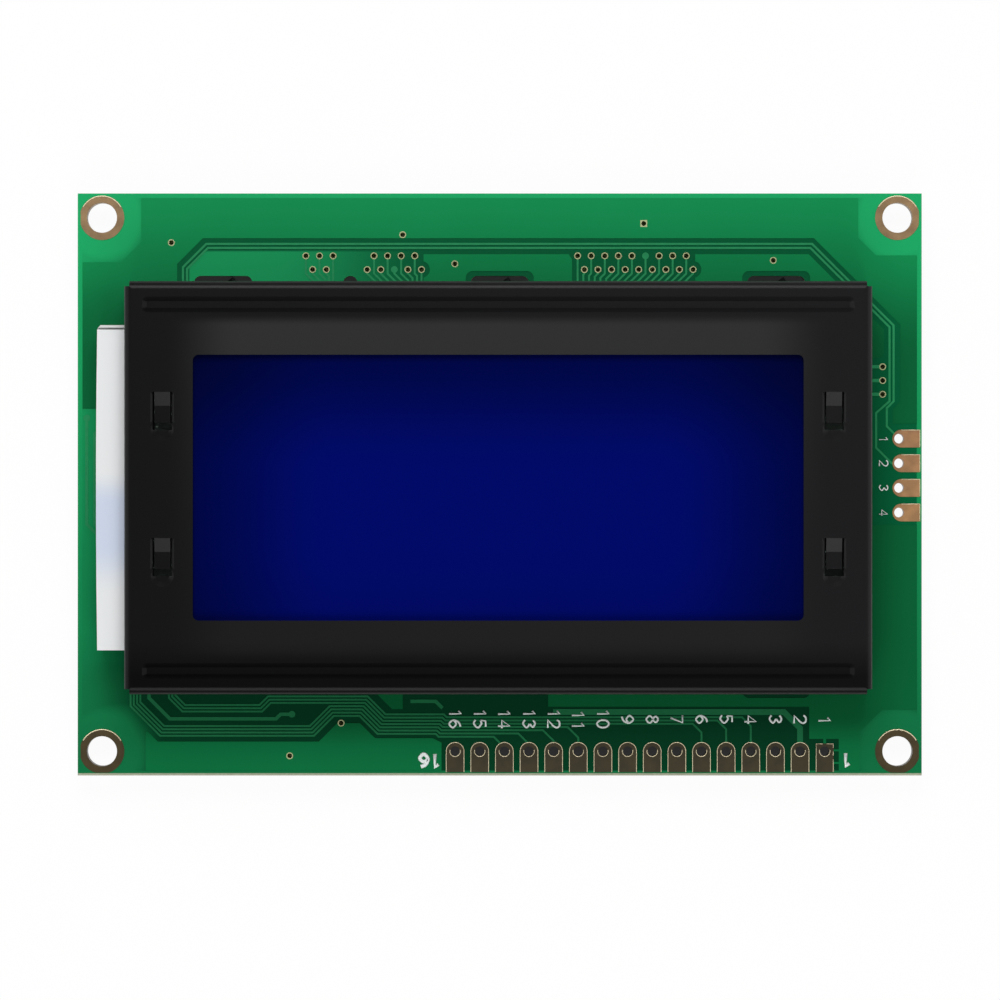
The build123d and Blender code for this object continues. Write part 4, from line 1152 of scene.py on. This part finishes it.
class MODULE_OT_add_pad_rims(Operator):
    """Add the painted highlights along the edges of the pads and their holes"""

    bl_idname = "display_module.add_pad_rims"
    bl_label = "Add Pad Rims"

    def execute(self, context):
        settings = context.scene.module_rims
        # Painted highlights: bright lines where the edges of the pads, holes and rings catch the light
        bright = plain_metal("painted_edge_glint", settings.colour, 0.2, 0.4, 0.1)
        leg = bottom_row_y - pads_low.y
        bottom_row = [(x, bottom_row_y) for x in bottom_pads_x]
        arc_wire(PAD_WIDTH / 2, 0, 180, settings.steps)
        choose_vertices(lambda co: abs(co.y) < 0.01 * MM)
        bpy.ops.mesh.extrude_vertices_move(TRANSFORM_OT_translate={"value": (0, -leg, 0)})
        rim = wire_to_round(settings.width)
        names = [f"pad_rim_{number:02d}" for number in range(2, PAD_COUNT + 1)]
        lay_lines(rim, names, bottom_row[1:], bright)

        # Painted highlight on the lower half of each pad's hole
        arc_wire(HOLE_GLINT_RADIUS, *HOLE_GLINT_ARC, settings.steps)
        lip = wire_to_round(settings.width)
        names = [f"hole_lip_{number:02d}" for number in range(1, PAD_COUNT + 1)]
        lay_lines(lip, names, bottom_row, bright)

        lay_lines(self.draw_square_rim(settings, leg), ["pad_rim_01"], bottom_row[:1], bright)

        names = [f"bus_rim_{number}" for number in range(1, BUS_COUNT + 1)]
        lay_lines(self.draw_bus_rim(settings), names, [(0, y) for y in bus_pads_y], bright)

        arc_wire(MOUNT_RING / 2 - RING_INSET, *RING_ARC, settings.steps)
        line = wire_to_round(RING_LINE * settings.width)
        corners = [(-mount_x, mount_y), (mount_x, mount_y), (-mount_x, -mount_y), (mount_x, -mount_y)]
        names = [f"ring_line_{number}" for number in range(1, len(corners) + 1)]
        lay_lines(line, names, corners, bright)
        return {"FINISHED"}

    def draw_square_rim(self, settings, leg):
        """The painted highlight along the rim of the square pad, open in the middle of its top and broken on
        its right side.
        """
        half = (PAD_WIDTH - settings.width) / 2
        rise = SQUARE_RISE - settings.width / 2
        return draw_strokes(
            [
                [(-half, -leg), (-half, rise), (-SQUARE_GAP, rise)],
                [(SQUARE_GAP, rise), (half, rise), (half, rise - SQUARE_DASH)],
                [(half, rise - 2 * SQUARE_DASH), (half, rise - 3 * SQUARE_DASH)],
                [(half, rise - 4 * SQUARE_DASH), (half, -leg)],
            ],
            settings.width,
        )

    def draw_bus_rim(self, settings):
        """The painted highlight, a bright line along the upper and right sides of a pad on the right edge.
        """
        half = (PAD_WIDTH - settings.width) / 2
        end = bus_high.x - settings.width / 2
        start = bus_low.x + PAD_WIDTH / 2
        return draw_strokes([[(start, half), (end, half), (end, -half)]], BUS_LINE * settings.width)


class MODULE_OT_build_stage(Operator):
    """Set the floor, the lights and the camera"""

    bl_idname = "display_module.build_stage"
    bl_label = "Build Stage"

    def execute(self, context):
        settings = context.scene.module_stage
        self.add_floor()
        self.add_world(settings)
        self.add_lights(settings)
        self.add_camera(settings)
        context.scene.view_settings.view_transform = "Standard"
        return {"FINISHED"}

    def add_floor(self):
        """A white floor that keeps the module's shadow, with a painted shadow that keeps it dark under the
        board.
        """
        start_piece()
        bpy.ops.mesh.primitive_plane_add(size=FLOOR_SIZE, location=(0, 0, 0))
        floor = bpy.context.object
        floor.name = "studio_floor"
        material = bpy.data.materials.new("white_floor")
        material.use_nodes = True
        tree = material.node_tree
        tree.nodes.clear()
        axes = add_node(
            tree, "ShaderNodeSeparateXYZ", {0: add_node(tree, "ShaderNodeTexCoord").outputs["Object"]}
        )
        away_x = add_node(tree, "ShaderNodeMath", {0: axes.outputs[0]}, operation="ABSOLUTE")
        away_y = add_node(tree, "ShaderNodeMath", {0: axes.outputs[1]}, operation="ABSOLUTE")
        # Painted shadow: the floor's glow drops to a trace inside the board's outline, so the pad holes look
        # dark
        past_x = add_node(
            tree,
            "ShaderNodeMapRange",
            {0: away_x.outputs[0], 1: mount_x - 1.9 * MM, 2: mount_x - 1.5 * MM, 3: UNDER_BOARD_PAINTED_SHADOW},
        )
        past_y = add_node(
            tree,
            "ShaderNodeMapRange",
            {0: away_y.outputs[0], 1: board_high.y - 1.2 * MM, 2: board_high.y - 0.4 * MM},
        )
        open_floor = add_node(
            tree, "ShaderNodeMath", {0: past_x.outputs[0], 1: past_y.outputs[0]}, operation="MAXIMUM"
        )
        path = add_node(tree, "ShaderNodeLightPath")
        seen = add_node(
            tree,
            "ShaderNodeMath",
            {0: path.outputs["Is Camera Ray"], 1: path.outputs["Is Glossy Ray"]},
            operation="MAXIMUM",
        )
        seen = add_node(
            tree,
            "ShaderNodeMath",
            {0: seen.outputs[0], 1: path.outputs["Is Transmission Ray"]},
            operation="MAXIMUM",
        )
        share = add_node(tree, "ShaderNodeMath", {0: seen.outputs[0], 1: FLOOR_WHITE}, operation="MULTIPLY")
        diffuse = add_node(tree, "ShaderNodeBsdfDiffuse", {"Color": (0.9, 0.9, 0.9, 1)})
        glow = add_node(
            tree, "ShaderNodeEmission", {"Color": (1, 1, 1, 1), "Strength": open_floor.outputs[0]}
        )
        mixed = add_node(
            tree, "ShaderNodeMixShader", {0: share.outputs[0], 1: diffuse.outputs[0], 2: glow.outputs[0]}
        )
        add_node(tree, "ShaderNodeOutputMaterial", {0: mixed.outputs[0]})
        floor.data.materials.append(material)

    def add_world(self, settings):
        """Pale surroundings, dark straight above, so that flat glossy faces stay deep in colour."""
        world = bpy.data.worlds.new("studio")
        bpy.context.scene.world = world
        world.use_nodes = True
        tree = world.node_tree
        tree.nodes.clear()
        direction = add_node(tree, "ShaderNodeTexCoord").outputs["Generated"]
        axes = add_node(tree, "ShaderNodeSeparateXYZ", {0: direction})
        level = add_node(
            tree,
            "ShaderNodeMapRange",
            {0: axes.outputs[2], 1: 0.9, 2: 0.985, 3: settings.world_level, 4: 0.03},
            interpolation_type="SMOOTHSTEP",
        )
        background = add_node(
            tree, "ShaderNodeBackground", {"Color": (1, 1, 1, 1), "Strength": level.outputs[0]}
        )
        add_node(tree, "ShaderNodeOutputWorld", {0: background.outputs[0]})

    def add_lights(self, settings):
        """A soft light past the board's upper edge, a fill past its lower edge, and one on each side."""
        side_power = SIDE_SHARE * settings.key_power
        places = (
            ("key_light", (-0.02, 0.24, 0.36), 0.24, settings.key_power),
            ("fill_light", (0.02, -0.26, 0.3), 0.24, settings.fill_power),
            ("left_light", (-0.34, 0.02, 0.12), 0.2, side_power),
            ("right_light", (0.34, 0.02, 0.12), 0.2, side_power),
        )
        for name, place, size, power in places:
            start_piece()
            bpy.ops.object.light_add(type="AREA", location=place)
            lamp = bpy.context.object
            lamp.name = name
            lamp.data.size = size
            lamp.data.energy = power
            lamp.rotation_euler = (-Vector(place)).to_track_quat("-Z", "Y").to_euler()

    def add_camera(self, settings):
        """A camera straight above the board."""
        start_piece()
        place = (CAMERA_X, CAMERA_Y, settings.camera_height)
        bpy.ops.object.camera_add(location=place, rotation=(0, 0, 0))
        camera = bpy.context.object
        camera.name = "camera"
        camera.data.lens = settings.lens
        camera.data.sensor_width = 36
        camera.data.clip_start = 0.01
        bpy.context.scene.camera = camera


STEPS = (
    MODULE_OT_finish_board,
    MODULE_OT_finish_bezel,
    MODULE_OT_finish_display,
    MODULE_OT_finish_backlight,
    MODULE_OT_finish_back,
    MODULE_OT_print_numbers,
    MODULE_OT_add_pad_rims,
    MODULE_OT_build_stage,
)
SETTINGS = {
    "module_board": BoardSettings,
    "module_print": PrintSettings,
    "module_rims": RimSettings,
    "module_bezel": BezelSettings,
    "module_display": DisplaySettings,
    "module_stage": StageSettings,
}


class MODULE_PT_sidebar(Panel):
    """Lists the steps and their settings"""

    bl_idname = "MODULE_PT_sidebar"
    bl_label = "Display Module"
    bl_space_type = "VIEW_3D"
    bl_region_type = "UI"
    bl_category = "Display Module"

    def draw(self, context):
        for step in STEPS:
            self.layout.operator(step.bl_idname)
        for name, group in SETTINGS.items():
            box = self.layout.box()
            for setting in group.__annotations__:
                box.prop(getattr(context.scene, name), setting)


def register():
    """Registers the settings, the operators and the panel."""
    for name, group in SETTINGS.items():
        bpy.utils.register_class(group)
        setattr(bpy.types.Scene, name, PointerProperty(type=group))
    for step in STEPS:
        bpy.utils.register_class(step)
    bpy.utils.register_class(MODULE_PT_sidebar)


def unregister():
    """Removes what register added."""
    bpy.utils.unregister_class(MODULE_PT_sidebar)
    for step in reversed(STEPS):
        bpy.utils.unregister_class(step)
    for name, group in reversed(SETTINGS.items()):
        delattr(bpy.types.Scene, name)
        bpy.utils.unregister_class(group)


def main():
    """Runs every step in order."""
    register()
    for step in STEPS:
        group, name = step.bl_idname.split(".")
        getattr(getattr(bpy.ops, group), name)()
    start_piece()


if __name__ == "__main__":
    main()
